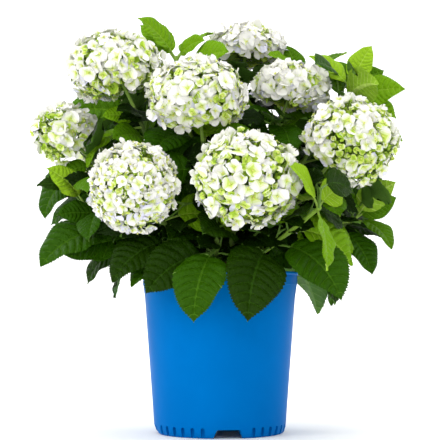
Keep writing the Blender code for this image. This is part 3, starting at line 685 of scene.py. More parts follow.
def tube_faces(rings, sides):
    """Faces over rings of points, closed at each end by triangles to the two hubs that follow them."""
    last = rings * sides
    ring, none = np.arange(sides), np.full(sides, -1)
    after = (ring + 1) % sides
    top = last - sides
    foot_fan = np.stack((after, ring, np.full(sides, last), none), axis=-1)
    top_fan = np.stack((top + ring, top + after, np.full(sides, last + 1), none), axis=-1)
    return np.concatenate((grid_faces(rings, sides, around=True), foot_fan, top_fan))


def revolved(section, sides):
    """A section of (radius, height) turned round the Z axis: (rings, sides, 3)."""
    radius, height = np.array(section).T[:, :, None]
    angle = 2 * math.pi * np.arange(sides) / sides
    around = (radius * np.cos(angle), radius * np.sin(angle), np.repeat(height, sides, axis=1))
    return np.stack(around, axis=-1)


def closed(rings, *hubs):
    """All the points of rings, and last the two hubs that close their ends."""
    return np.concatenate((rings.reshape(-1, 3), hubs))


def unit(vectors):
    """Vectors at length 1."""
    return vectors / np.linalg.norm(vectors, axis=-1, keepdims=True)


def level_for(directions):
    """For each direction an axis well off it: Z, or X for a steep one."""
    return np.where(np.abs(directions[..., 2:]) < STEEP, (0.0, 0.0, 1.0), (1.0, 0.0, 0.0))


def limb(path, radii, sides):
    """Points and faces of round limbs along paths of shape (..., rings, 3), with closed ends."""
    path = np.asarray(path, float)
    rings = path.shape[-2]
    ahead = unit(np.gradient(path, axis=-2))
    chord = unit(path[..., -1:, :] - path[..., :1, :])
    side = unit(np.cross(ahead, np.broadcast_to(level_for(chord), ahead.shape)))
    over = np.cross(ahead, side)
    angle = 2 * math.pi * np.arange(sides) / sides
    across = side[..., None, :] * np.cos(angle)[:, None] + over[..., None, :] * np.sin(angle)[:, None]
    radii = np.broadcast_to(np.asarray(radii, float), path.shape[:-1])
    rounds = path[..., None, :] + across * radii[..., None, None]
    rounds = rounds.reshape(*path.shape[:-2], rings * sides, 3)
    points = np.concatenate((rounds, path[..., :1, :], path[..., -1:, :]), axis=-2)
    return points, tube_faces(rings, sides)


def ball():
    """Points and faces of a ball of radius 1."""
    made = bmesh.new()
    bmesh.ops.create_icosphere(made, subdivisions=1, radius=1)
    points = np.array([vert.co[:] for vert in made.verts])
    faces = np.array([[v.index for v in face.verts] + [-1] for face in made.faces])
    made.free()
    return points, faces


# ---------------------------------------------------------------- planter
def body_radius(height):
    """The planter's outer radius where its wall is straight."""
    share = (height - FOOT_HEIGHT) / (COLLAR_FOOT - FOOT_HEIGHT)
    return FOOT_RADIUS + share * (BODY_TOP_RADIUS - FOOT_RADIUS)


def rounded(middle, radius, first, last):
    """Points of a round about its middle, between two directions in degrees."""
    for step in range(ROUND_STEPS + 1):
        angle = math.radians(first + (last - first) * step / ROUND_STEPS)
        yield middle[0] + radius * math.cos(angle), middle[1] + radius * math.sin(angle)


def pot_profile():
    """The planter's closed section, as (radius, height) from the middle of the floor's underside."""
    under = FLOOR - FLOOR_THICKNESS
    profile = [
        (UNDERSIDE_RADIUS - WALL, under),
        (UNDERSIDE_RADIUS - WALL, 0),
        (UNDERSIDE_RADIUS, 0),
        *((UNDERSIDE_RADIUS + out, height) for out, height in UNDERSIDE_ROUND),
        (FOOT_RADIUS - FOOT_EDGE[0], FOOT_HEIGHT - FOOT_EDGE[1]),
        (FOOT_RADIUS, FOOT_HEIGHT),
    ]
    for step in range(1, BODY_STEPS):
        height = FOOT_HEIGHT + (COLLAR_FOOT - FOOT_HEIGHT) * step / BODY_STEPS
        profile.append((body_radius(height), height))
    collar = (COLLAR_RADIUS - COLLAR_STEP, COLLAR_FOOT + COLLAR_STEP)
    profile.extend(rounded(collar, COLLAR_STEP, COLLAR_ROUND_FROM, 0))
    profile.append((COLLAR_RADIUS, LIP_FOOT - LIP_CHAMFER))
    profile.append((COLLAR_RADIUS + LIP_CHAMFER, LIP_FOOT))
    profile.extend(rounded((LIP_RADIUS - LIP_ROUND, LIP_FOOT + LIP_ROUND), LIP_ROUND, -90, 0))
    profile.extend(rounded((LIP_RADIUS - LIP_ROUND, POT_HEIGHT - LIP_ROUND), LIP_ROUND, 0, 90))
    profile.extend(rounded((BRIM_INNER_RADIUS + LIP_ROUND, POT_HEIGHT - LIP_ROUND), LIP_ROUND, 90, 180))
    profile.append((body_radius(COLLAR_FOOT) - WALL, COLLAR_FOOT))
    profile.append((body_radius(FLOOR) - WALL, FLOOR))
    return under, profile


def cutter(rings):
    """A closed object over two rings of points, for cutting with."""
    sides = len(rings[0])
    mesh = bpy.data.meshes.new("cutter")
    faces = [tuple(range(sides)), tuple(range(2 * sides - 1, sides - 1, -1))]
    for i in range(sides):
        j = (i + 1) % sides
        faces.append((i, i + sides, j + sides, j))
    mesh.from_pydata([point for ring in rings for point in ring], [], faces)
    shape = bmesh.new()
    shape.from_mesh(mesh)
    bmesh.ops.recalc_face_normals(shape, faces=shape.faces)
    shape.to_mesh(mesh)
    shape.free()
    return bpy.data.objects.new("cutter", mesh)


def arch_cutter(turn):
    """The gap between two feet."""
    rings = []
    for radius in (UNDERSIDE_RADIUS - ARCH_DEPTH, LIP_RADIUS):
        ring = []
        for half, height in (
            (-ARCH_HALF_ANGLE_FOOT, -CUT_PAST),
            (ARCH_HALF_ANGLE_FOOT, -CUT_PAST),
            (ARCH_HALF_ANGLE_TOP, ARCH_HEIGHT),
            (-ARCH_HALF_ANGLE_TOP, ARCH_HEIGHT),
        ):
            angle = turn + half
            ring.append((radius * math.cos(angle), radius * math.sin(angle), height))
        rings.append(ring)
    return cutter(rings)


def slot_cutter(turn):
    """A drainage slot with a round top."""
    outline = [(-SLOT_WIDTH / 2, -CUT_PAST), (SLOT_WIDTH / 2, -CUT_PAST)]
    for step in range(SLOT_ARC_STEPS + 1):
        angle = math.pi * step / SLOT_ARC_STEPS
        across = SLOT_WIDTH / 2 * math.cos(angle)
        outline.append((across, SLOT_HEIGHT - SLOT_WIDTH / 2 * (1 - math.sin(angle))))
    out = Vector((math.cos(turn), math.sin(turn), 0))
    side = Vector((-math.sin(turn), math.cos(turn), 0))
    rings = []
    for radius in (SLOT_FLOOR_RADIUS, LIP_RADIUS):
        rings.append([out * radius + side * across + Vector((0, 0, up)) for across, up in outline])
    return cutter(rings)


def make_pot():
    """The planter, with its round lip, its feet and its slots."""
    under, profile = pot_profile()
    points = closed(revolved(profile, POT_SEGMENTS), (0, 0, under), (0, 0, FLOOR))
    pile = Pile()
    pile.add(points, tube_faces(len(profile), POT_SEGMENTS))
    pot = pile.piece("planter", [pot_finish()], "pot_blue_plastic", ["pot"], POT_SHARP)
    cutters = bpy.data.collections.new("cutters")
    bpy.context.scene.collection.children.link(cutters)
    for arch in range(ARCHES):
        turn = ARCH_TURN + 2 * math.pi * arch / ARCHES
        cutters.objects.link(arch_cutter(turn))
        for slot in range(SLOTS_PER_FOOT):
            shift = (slot - (SLOTS_PER_FOOT - 1) / 2) * SLOT_SPACING
            cutters.objects.link(slot_cutter(turn + math.pi / ARCHES + shift))
    cut = pot.modifiers.new("cut", "BOOLEAN")
    cut.operation = "DIFFERENCE"
    cut.operand_type = "COLLECTION"
    cut.collection = cutters
    graph = bpy.context.evaluated_depsgraph_get()
    result = bpy.data.meshes.new_from_object(pot.evaluated_get(graph))
    pot.modifiers.clear()
    pot.data = result
    for tool in list(cutters.objects):
        bpy.data.objects.remove(tool)
    bpy.data.collections.remove(cutters)
    pot.data.set_sharp_from_angle(angle=math.radians(POT_SHARP))


def make_soil():
    """Potting mix with an uneven top, and crumbs of bark lying on it."""
    dice = random.Random("soil")
    edge = body_radius(SOIL_TOP) - WALL - GAP
    low = FLOOR + GAP
    foot = body_radius(low) - WALL - GAP
    section = []
    for ring in range(1, SOIL_RINGS + 1):
        section.append((edge * (ring / SOIL_RINGS) ** SOIL_RING_POWER, SOIL_TOP))
    rings = revolved([*section, (foot, low)], SOIL_SEGMENTS)
    for place in rings[:-1].reshape(-1, 3):
        lift = sum(share * noise.noise(Vector(place) * scale) for share, scale in SOIL_LUMPS)
        place[2] += SOIL_ROUGHNESS * lift - SOIL_SINK
    pile = Pile()
    points = closed(rings, (0, 0, SOIL_TOP - SOIL_SINK), (0, 0, low))
    pile.add(points, tube_faces(len(rings), SOIL_SEGMENTS)[:, ::-1])
    shape, sides = ball()
    for _ in range(CRUMBS):
        radius = edge * CRUMB_SPREAD * math.sqrt(dice.random())
        angle = dice.uniform(0, 2 * math.pi)
        size = np.array([dice.uniform(*CRUMB_SIZES) for _ in range(3)])
        middle = np.array((radius * math.cos(angle), radius * math.sin(angle), SOIL_TOP - CRUMB_DEPTH))
        lumps = 1 + CRUMB_LUMPS * np.array([dice.uniform(-1, 1) for _ in shape])[:, None]
        pile.add(middle + shape * lumps * size, sides)
    pile.piece("potting_mix", [soil_finish()], "soil", ["soil"], sharp=40)


# ---------------------------------------------------------------- the rule that the solids grow by
def crown_point(azimuth, polar):
    """A point on the woody crown's dome and the direction straight out of it there."""
    out = Vector((math.cos(azimuth), math.sin(azimuth), 0))
    rise = CROWN_HEIGHT - CROWN_FLARE_HEIGHT
    flat = CROWN_RADIUS * math.sin(polar)
    up = rise * math.cos(polar)
    point = out * flat + Vector((0, 0, SOIL_TOP + GAP + CROWN_FLARE_HEIGHT + up))
    normal = out * (flat / CROWN_RADIUS**2) + Vector((0, 0, up / rise**2))
    return point, normal.normalized()


def bezier(points, t):
    """A cubic curve's place at t."""
    a, b, c, d = points
    s = 1 - t
    return a * s**3 + b * (3 * s * s * t) + c * (3 * s * t * t) + d * t**3


def heading(points, t):
    """A cubic curve's direction at t."""
    a, b, c, d = points
    s = 1 - t
    return ((b - a) * s * s + (c - b) * (2 * s * t) + (d - c) * t * t).normalized()


def head_depth(head, direction):
    """How far a flower head's core reaches from its middle, along a direction."""
    return HEAD_CORE_SHARE / math.sqrt(sum((direction[i] / head[i]) ** 2 for i in range(3)))


def plain_cane(curve, stop, foot_radius):
    """The skin of a solid's cane: points and four-sided faces."""
    points = []
    side = heading(curve, 0).orthogonal().normalized()
    for step in range(CANE_RINGS):
        t = stop * step / (CANE_RINGS - 1)
        along = heading(curve, t)
        side = (side - along * side.dot(along)).normalized()
        over = along.cross(side)
        radius = foot_radius + (TIP_RADIUS - foot_radius) * t
        for i in range(CANE_SIDES):
            angle = 2 * math.pi * i / CANE_SIDES
            points.append(bezier(curve, t) + (side * math.cos(angle) + over * math.sin(angle)) * radius)
    return points, grid_faces(CANE_RINGS, CANE_SIDES, around=True).tolist()


def seat_height(skin, middle, out, radius):
    """How far a limb's skin stands out from a point on its axis, under the flat foot of a side limb."""
    side = out.orthogonal().normalized()
    over = out.cross(side)
    height = 0
    for ring in range(SEAT_RAYS):
        for ray in range(2 * SEAT_RAYS):
            angle = math.pi * ray / SEAT_RAYS
            across = (side * math.cos(angle) + over * math.sin(angle)) * radius * ring / (SEAT_RAYS - 1)
            start = middle + across + out * 2 * CANE_RADIUS
            place, _, _, fall = skin.ray_cast(start, -out, 2 * CANE_RADIUS)
            if place:
                height = max(height, 2 * CANE_RADIUS - fall)
    return height


def plan_shoots():
    """Each shoot's curve, its radius at the foot, and its plain cane's points and faces."""
    plans = {}
    for shoot in SHOOTS:
        tip = Vector(shoot.tip)
        lean = (tip - LEAN_CENTRE).normalized()
        end = tip
        if shoot.head:
            end = tip - lean * (head_depth(shoot.head, lean) + HEAD_STALK)
        if shoot.parent is None:
            foot, out = crown_point(math.atan2(tip.y, tip.x), math.radians(shoot.along))
            radius = CANE_RADIUS
        else:
            parent = plans[shoot.parent]
            foot = bezier(parent.curve, shoot.along)
            along = heading(parent.curve, shoot.along)
            towards = end - foot
            out = (towards - along * towards.dot(along)).normalized()
            radius = (parent.radius + (TIP_RADIUS - parent.radius) * shoot.along) * SIDE_CANE_SHARE
            foot = foot + out * seat_height(BVHTree.FromPolygons(*parent.cane), foot, out, radius)
        foot = foot + out * GAP
        span = (end - foot).length
        curve = (foot, foot + out * FOOT_REACH * span, end - lean * TIP_REACH * span, end)
        plans[shoot.name] = Plan(curve, radius, plain_cane(curve, shoot.split, radius))
    return plans


Leaf = namedtuple("Leaf", "root turn rise droop roll length")


def leaf_frames(leaf, s):
    """A leaf's midrib is an arc: its places, directions, sides and upward normals at shares s."""
    out = np.array((math.cos(leaf.turn), math.sin(leaf.turn), 0.0))
    up = np.array((0.0, 0.0, 1.0))
    s = np.asarray(s, float)[..., None]
    pitch = leaf.rise - leaf.droop * s
    flat = (math.sin(leaf.rise) - np.sin(pitch)) / leaf.droop
    high = (np.cos(pitch) - math.cos(leaf.rise)) / leaf.droop
    place = np.array(leaf.root) + (out * flat + up * high) * leaf.length
    along = out * np.cos(pitch) + up * np.sin(pitch)
    level = np.array((-math.sin(leaf.turn), math.cos(leaf.turn), 0.0))
    side = level * math.cos(leaf.roll) + np.cross(along, level) * math.sin(leaf.roll)
    return place, along, side, np.cross(along, side)


def roll_to_light(leaf):
    """How far a leaf rolls about its midrib to face the light."""
    place, _, side, normal = (Vector(part) for part in leaf_frames(leaf, LEAF_WIDEST))
    light = (place - LIGHT_MIDDLE) * LIGHT_SPREAD + LIGHT_ABOVE
    roll = math.atan2(-light.dot(side), light.dot(normal))
    return max(-LEAF_MOST_ROLL, min(LEAF_MOST_ROLL, roll))


def leaf_variant(key, attempt, curve, at, turn, rise, droop, length, twist):
    """One seeded way to hold a leaf: attempt 0 is nearly the plain rule, and later ones stray more."""
    dice = random.Random(f"{key}/{attempt}")
    stray = FIRST_STRAY + MORE_STRAY * attempt
    level = Leaf(
        bezier(curve, min(at + dice.uniform(0, STRAY_ALONG) * attempt, LAST_LEAF)),
        math.radians(turn + dice.uniform(-STRAY_TURN, STRAY_TURN) * stray),
        math.radians(rise + dice.uniform(-STRAY_RISE, STRAY_RISE) * stray),
        math.radians(max(droop + dice.uniform(-STRAY_DROOP, STRAY_DROOP) * stray, LEAST_DROOP)),
        0,
        length * (1 + dice.uniform(-STRAY_LENGTH, STRAY_LENGTH)) * (1 - TRY_SHORTER * attempt),
    )
    twist = math.radians(twist + dice.uniform(-STRAY_ROLL, STRAY_ROLL))
    return level._replace(roll=roll_to_light(level) + twist)


def leaf_pairs(shoot, curve):
    """Where a shoot's pairs of leaves spring, and how they are held: (at, turn, habit, step)."""
    reach = (curve[3] - bezier(curve, shoot.split)).length
    count = max(round(reach / LEAF_PAIR_SPACING), 2)
    low = shoot.split + FIRST_PAIR
    high = LAST_PAIR if shoot.head else LAST_LEAF
    for pair in range(count):
        step = pair / (count - 1)
        habit = tuple(a + (b - a) * step for a, b in zip(LOW_LEAF, HIGH_LEAF))
        if pair == count - 1 and not shoot.head:
            habit = BUD_LEAF
        yield low + (high - low) * step, shoot.turn + 90 * pair, habit, step


def rule_tone(shoot, step, key):
    """How a leaf of the plain rule is coloured: younger towards its shoot's tip."""
    stray = random.Random(f"tone/{key}").uniform(-TONE_STRAY, TONE_STRAY)
    return bisect.bisect(TONE_LIMITS, step + stray + TONE_AGES.get(shoot.name, 0))


def leaf_requests(plans):
    """Every leaf that the rule asks for, set leaves first: (shoot, key, at, turn, habit, tone)."""
    for number, leaf in enumerate(SET_LEAVES):
        habit = (leaf.rise, leaf.droop, leaf.length, leaf.twist)
        yield SHOOT_NAMED[leaf.shoot], f"set/{number}", leaf.at, leaf.turn, habit, leaf.tone
    rows = []
    for shoot in SHOOTS:
        rows.append([(shoot, *pair) for pair in leaf_pairs(shoot, plans[shoot.name].curve)])
    for level, pairs in enumerate(zip_longest(*rows)):
        for shoot, at, turn, habit, step in filter(None, pairs):
            for half in (0, 1):
                key = f"{shoot.name}/{level}/{half}"
                yield shoot, key, at, turn + 180 * half, (*habit, 0), rule_tone(shoot, step, key)


def grown_leaves(plans):
    """Each leaf that its solid has, held the same way: (shoot, leaf, tone)."""
    corners = {}
    for shoot in SHOOTS:
        mesh = frame["nodes"][f"foliage_{shoot.name}"].data
        corners[shoot.name] = kdtree.KDTree(len(mesh.vertices))
        for vert in mesh.vertices:
            corners[shoot.name].insert(vert.co, vert.index)
        corners[shoot.name].balance()
    grown = []
    for shoot, key, at, turn, habit, tone in leaf_requests(plans):
        curve = plans[shoot.name].curve
        for attempt in range(LEAF_TRIES):
            leaf = leaf_variant(key, attempt, curve, at, turn, *habit)
            tip = leaf_frames(leaf, 1.0)[0]
            _, _, distance = corners[shoot.name].find(tip)
            if distance < SAME_PLACE:
                grown.append((shoot, leaf, tone))
                break
    return grown


# ---------------------------------------------------------------- leaves
def ease(share):
    """A smooth step from 0 to 1."""
    share = np.clip(share, 0, 1)
    return share * share * (3 - 2 * share)


def blade_outline(y):
    """Half a blade's width at a share of its length, as a share of its widest."""
    rise, fall = OUTLINE
    widest = rise / (rise + fall)
    shape = y**rise * (1 - y) ** fall / (widest**rise * (1 - widest) ** fall)
    shape = shape * (1 - TIP_WAIST * np.exp(-(((1 - y) / TIP_WAIST_REACH) ** 2)))
    return shape + BASE_WIDTH * (1 - y) ** BASE_TAPER + TIP_WIDTH * y


# The kinds of a blade's faces.
PLAIN, VEIN, PLAIN_BELOW, VEIN_BELOW = range(4)


class Blade:
    """The net of a leaf's blade: rows that follow the side veins, round a thin closed section.

    veins is how many there are on each side, shares places the rows from one side vein to the next,
    and top and under place the columns, from -1 at one edge to 1 at the other.
    """

    def __init__(self, veins, shares, top, under):
        rows = [(vein + share) / veins for vein in range(veins) for share in shares] + [1.0]
        self.along = np.array(rows)[:, None]
        self.between = np.array([share for _ in range(veins) for share in shares] + [0.0])[:, None]
        self.across = np.array(top + under)[None, :]
        self.on_top = (np.arange(len(top + under)) < len(top))[None, :]
        around = len(top + under)
        faces = grid_faces(len(rows), around, around=True)[:, ::-1]
        row, column = np.divmod(np.arange(len(faces)), around)
        ring = np.abs(np.array(top + under))
        middle = ((ring + np.roll(ring, -1)) / 2)[column]
        side_vein = (row % len(shares) == 0) & (middle < VEIN_END) & (shares[1] <= VEIN_HALF)
        above = np.where(side_vein | (middle < MIDRIB_HALF), VEIN, PLAIN)
        below = np.where(side_vein | (middle < UNDER_MIDRIB_HALF), VEIN_BELOW, PLAIN_BELOW)
        kinds = np.where(column < len(top) - 1, above, below)
        ends = []
        for first, ahead in ((0, 0), ((len(rows) - 1) * around, 1)):
            for i in range(1, around - 1):
                ends.append((first, first + i + ahead, first + i + 1 - ahead, -1))
        self.faces = np.concatenate((faces, ends))
        self.kinds = np.concatenate((kinds, np.full(len(ends), PLAIN_BELOW)))

    def points(self, leaf, dice):
        """A blade's points, quilted between its veins, toothed at its edge and gently waved.

        v and y are shares of its length, before and after the veins' sweep, c is the share of the way
        across, from edge to edge, and u of the way out from the midrib.
        """
        v, c = self.along, self.across
        u = np.abs(c)
        edge = u == 1
        y = v + VEIN_SWEEP * u**VEIN_CURVE * (1 - v) * ease(v / VEIN_BASE)
        blade = leaf.length * (1 - PETIOLE_SHARE)
        half = blade * LEAF_WIDTH_SHARE / 2
        width = blade_outline(y)
        row = np.arange(len(v))[:, None]
        bite = np.where(row % 2 == 1, 1.0, TOOTH_NOTCH)
        bite = bite * ease((y - TOOTH_BARE) / TOOTH_ENDS[0]) * ease((1 - y) / TOOTH_ENDS[1])
        across = np.sign(c) * (u * width * half + edge * bite * TOOTH * blade)
        y = np.minimum(y + edge * np.maximum(bite, 0) * TOOTH * TOOTH_LEAN, 1)
        fold = width * half * (BLADE_RISE * u - BLADE_LEVEL * u * u)
        quilt = np.sin(math.pi * self.between) ** QUILT_ROUND[0] * (4 * u * (1 - u)) ** QUILT_ROUND[1]
        quilt = quilt * QUILT * blade * ease(v / QUILT_ENDS[0]) * ease((1 - v) / QUILT_ENDS[1])
        phase = dice.uniform(0, 2 * math.pi)
        waves = dice.uniform(*WAVES)
        sway = np.sin(2 * math.pi * waves * y + phase + WAVE_SHIFT * np.sign(c))
        sway = sway * WAVE * blade * u * u
        rib = MIDRIB_DEPTH * (1 - u) ** MIDRIB_TAPER
        rib = rib + UNDER_VEIN_DEPTH * (self.between <= VEIN_HALF) * (1 - u)
        under = (BLADE_THICKNESS + rib) * ~self.on_top
        lift = fold + sway + self.on_top * quilt - under
        place, _, side, normal = leaf_frames(leaf, PETIOLE_SHARE + y * (1 - PETIOLE_SHARE))
        return (place + side * across[..., None] + normal * lift[..., None]).reshape(-1, 3)


FULL_BLADE = Blade(
    veins=9,
    shares=(0, 0.10, 0.30, 0.50, 0.70, 0.90),
    top=(-1, -0.84, -0.64, -0.42, -0.20, -0.04, 0, 0.04, 0.20, 0.42, 0.64, 0.84, 1),
    under=(0.62, 0.10, 0, -0.10, -0.62),
)
SMALL_BLADE = Blade(
    veins=7,
    shares=(0, 0.5),
    top=(-1, -0.70, -0.35, -0.05, 0, 0.05, 0.35, 0.70, 1),
    under=(0.5, 0, -0.5),
)


def petiole(leaf, rings, sides):
    """A leaf's stalk, as far as into its blade."""
    path, _, _, normal = leaf_frames(leaf, np.linspace(0, PETIOLE_SHARE * PETIOLE_REACH, rings))
    radii = np.linspace(*PETIOLE_RADII, rings)
    radii[0] *= PETIOLE_FLARE
    return limb(path - normal * PETIOLE_SINK, radii, sides)


def leaf_samples(leaf):
    """Points spread over a leaf's blade."""
    rows, columns = SAMPLES
    share = np.linspace(PETIOLE_SHARE, 1, rows)
    place, _, side, _ = leaf_frames(leaf, share)
    half = blade_outline((share - PETIOLE_SHARE) / (1 - PETIOLE_SHARE))
    half = half * leaf.length * (1 - PETIOLE_SHARE) * LEAF_WIDTH_SHARE / 2
    across = np.linspace(-1, 1, columns)[:, None] * half
    return (place + side * across[..., None]).reshape(-1, 3)


def cells_of(points):
    """The cells that points fall in."""
    return {tuple(cell) for cell in np.floor(points / CELL).astype(int)}


def has_room(points, taken):
    """Does a leaf keep inside the crown, clear of the heads and the planter, and off other leaves?"""
    off = (points - np.array(CROWN_CENTRE)) / np.array(CROWN_REACH)
    low = (points[:, 2] - CROWN_CENTRE.z) / CROWN_REACH_DOWN
    height = np.where(off[:, 2] > 0, off[:, 2], low)
    if (off[:, 0] ** 2 + off[:, 1] ** 2 + height**4).max() > TWIG_REACH:
        return False
    if points[:, 2].max() > TWIG_TOP:
        return False
    if (np.hypot(points[:, 0], points[:, 1]) < LIP_RADIUS)[points[:, 2] < POT_HEIGHT].any():
        return False
    for shoot in SHOOTS:
        if shoot.head:
            inside = (((points - np.array(shoot.tip)) / np.array(shoot.head)) ** 2).sum(axis=1)
            if inside.min() < HEAD_CLEARANCE:
                return False
    return len(cells_of(points) & taken) <= CROSSINGS


def twig_leaves(path, turn, dice, taken):
    """The leaves of a small twig that there is room for."""
    for share, spin in TWIG_LEAVES:
        for _ in range(TWIG_TRIES):
            level = Leaf(
                path[round(share * (TWIG_RINGS - 1))],
                turn + math.radians(spin + dice.uniform(*TWIG_LEAF_STRAY)),
                math.radians(dice.uniform(*TWIG_LEAF_RISE)),
                math.radians(dice.uniform(*TWIG_LEAF_DROOP)),
                0,
                dice.uniform(*TWIG_LEAF_LENGTH),
            )
            stray = math.radians(dice.uniform(-STRAY_ROLL, STRAY_ROLL))
            leaf = level._replace(roll=roll_to_light(level) + stray)
            samples = leaf_samples(leaf)
            if has_room(samples, taken):
                taken |= cells_of(samples)
                yield leaf
                break


def axil_twigs(plans, grown):
    """Small twigs from the leaves' axils, where there is room for leaves: (shoot, path, leaves)."""
    taken = set()
    for _, leaf, _ in grown:
        taken |= cells_of(leaf_samples(leaf))
    for shoot in SHOOTS:
        curve = plans[shoot.name].curve
        for level, (at, axil, _, _) in enumerate(leaf_pairs(shoot, curve)):
            for half in (0, 1):
                dice = random.Random(f"twig/{shoot.name}/{level}/{half}")
                foot = np.array(bezier(curve, at))
                turn = math.radians(axil + 180 * half + dice.uniform(*TWIG_STRAY))
                rise = math.radians(dice.uniform(*TWIG_RISE))
                stem = Leaf(foot, turn, rise, TWIG_DROOP, 0, dice.uniform(*TWIG_LENGTH))
                path = leaf_frames(stem, np.linspace(0, 1, TWIG_RINGS))[0]
                leaves = list(twig_leaves(path, turn, dice, taken))
                if leaves:
                    yield shoot, path, leaves


def gap_leaves(plans):
    """The small leaves that close the rule's gaps, straight on their shoots: (shoot, leaf)."""
    for name, at, turn, rise, length in GAP_LEAVES:
        root = np.array(bezier(plans[name].curve, at))
        level = Leaf(root, math.radians(turn), math.radians(rise), GAP_LEAF_DROOP, 0, length)
        yield SHOOT_NAMED[name], level._replace(roll=roll_to_light(level))


def make_leaves(plans):
    """The leaves and their stalks, in pieces by the side of the plant that they grow on."""
    grown = grown_leaves(plans)
    finishes = leaf_finishes()
    piles = {side: Pile() for side in ("leaves_front", "leaves_back", "small_leaves")}
    nodes = {side: set() for side in piles}
    stalks, twigs = Pile(), Pile()

    def lay(side, blade, shoot, leaf, tone, dice):
        below = UNDERSIDE + 2 * (tone >= FRESH) + blade.kinds - PLAIN_BELOW
        finish = np.where(blade.kinds >= PLAIN_BELOW, below, 2 * tone + blade.kinds)
        piles[side].add(blade.points(leaf, dice), blade.faces, finish)
        nodes[side].add(f"foliage_{shoot.name}")

    for number, (shoot, leaf, tone) in enumerate(grown):
        side = "leaves_back" if shoot.tip[1] > FRONT_SIDE else "leaves_front"
        lay(side, FULL_BLADE, shoot, leaf, tone, random.Random(f"blade/{number}"))
        stalks.add(*petiole(leaf, *LEAF_STALK_SKIN), int(tone >= FRESH))
    small = list(gap_leaves(plans))
    for shoot, path, leaves in axil_twigs(plans, grown):
        twigs.add(*limb(path, np.linspace(*TWIG_RADII, TWIG_RINGS), TWIG_SIDES))
        small += [(shoot, leaf) for leaf in leaves]
    for shoot, leaf in small:
        dice = random.Random(f"small/{leaf.turn}")
        # Painted shade and light: a small leaf is darker the nearer it lies to the crown's middle, and
        # lighter the higher it lies.
        off = (Vector(leaf.root) - CROWN_CENTRE) / CROWN_REACH.x
        stray = dice.uniform(-SMALL_LEAF_STRAY, SMALL_LEAF_STRAY)
        tone = bisect.bisect(SMALL_LEAF_SHADE_STEPS, off.length + SMALL_LEAF_TOP_LIGHT * off.z + stray)
        lay("small_leaves", SMALL_BLADE, shoot, leaf, tone, dice)
        twigs.add(*petiole(leaf, *SMALL_STALK_SKIN))
    for side, pile in piles.items():
        pile.piece(side, finishes, "leaf_green", sorted(nodes[side]))
    every = sorted(nodes["leaves_front"] | nodes["leaves_back"])
    green = stem_finish("leaf_stalk", srgb(92, 126, 44))
    young = stem_finish("young_leaf_stalk", srgb(136, 168, 64))
    stalks.piece("leaf_stalks", [green, young], "leaf_green", every)
    twigs.piece("side_twigs", [green], "leaf_green", sorted(nodes["small_leaves"]))


# ---------------------------------------------------------------- stems and canes
def shoot_path(curve, start, stop, rings):
    """Points along part of a shoot."""
    return np.array([bezier(curve, start + (stop - start) * i / (rings - 1)) for i in range(rings)])


def swollen(shares, at, swelling):
    """By how much a limb is thicker about a place along it."""
    height, reach = swelling
    return 1 + height * np.exp(-(((shares - at) / reach) ** 2))


def make_stems(plans):
    """The green stems, swollen where each pair of leaves springs."""
    pile = Pile()
    rings, sides = STEM_SKIN
    for shoot in SHOOTS:
        curve, radius, _ = plans[shoot.name]
        shares = np.linspace(shoot.split, 1, rings)
        radii = radius + (TIP_RADIUS - radius) * shares
        for at, *_ in leaf_pairs(shoot, curve):
            radii = radii * swollen(shares, at, NODE_SWELLING)
        finish = 1 if shoot.name in ("young_leaves", "right_leaves", "top_leaves") else 0
        pile.add(*limb(shoot_path(curve, shoot.split, 1, rings), radii, sides), finish)
    finishes = [
        stem_finish("green_stem", srgb(84, 108, 42)),
        stem_finish("young_stem", srgb(132, 168, 58)),
    ]
    pile.piece("stems", finishes, "leaf_green", [f"foliage_{shoot.name}" for shoot in SHOOTS])


def make_canes(plans, bark):
    """The woody canes, ringed with old scars."""
    pile = Pile()
    rings, sides = CANE_SKIN
    depth, scale = BARK_LUMPS
    for shoot in SHOOTS:
        curve, radius, _ = plans[shoot.name]
        shares = np.linspace(0, shoot.split, rings)
        radii = (radius + (TIP_RADIUS - radius) * shares) * swollen(shares, 0, FOOT_SWELLING)
        dice = random.Random(f"scars/{shoot.name}")
        for scar in range(SCARS):
            at = shoot.split * (scar + dice.uniform(*SCAR_STRAY)) / SCARS
            radii = radii * swollen(shares, at, SCAR_SWELLING)
        points, faces = limb(shoot_path(curve, 0, shoot.split, rings), radii, sides)
        lumps = [Vector(noise.noise_vector(Vector(point) * scale)) * depth for point in points]
        pile.add(points + np.array(lumps), faces)
    pile.piece("canes", [bark], "bark", [f"cane_{shoot.name}" for shoot in SHOOTS], sharp=50)


def make_crown(bark):
    """The woody crown that the canes spring from, with its knuckles."""
    base = SOIL_TOP + GAP
    section = [(CROWN_FLARE_RADIUS - inward, base + up) for inward, up in CROWN_FOOT]
    section.append((CROWN_RADIUS + CROWN_NECK[0], base + CROWN_NECK[1]))
    for step in range(CROWN_STEPS):
        point, _ = crown_point(0, math.pi / 2 * (1 - step / CROWN_STEPS))
        section.append((point.x, point.z))
    depth, scale = CROWN_LUMPS
    rings = revolved(section, CROWN_SEGMENTS)
    for place in rings.reshape(-1, 3):
        angle = math.atan2(place[1], place[0])
        swell = 1 - CROWN_SHRINK + depth * noise.noise(Vector(place) * scale)
        for share, number, climb in KNUCKLES:
            swell += share * math.cos(number * angle + climb * place[2])
        place[:2] *= swell
    pile = Pile()
    points = closed(rings, (0, 0, base), (0, 0, base + CROWN_HEIGHT))
    pile.add(points, tube_faces(len(section), CROWN_SEGMENTS))
    pile.piece("woody_crown", [bark], "bark", ["stem_base"])


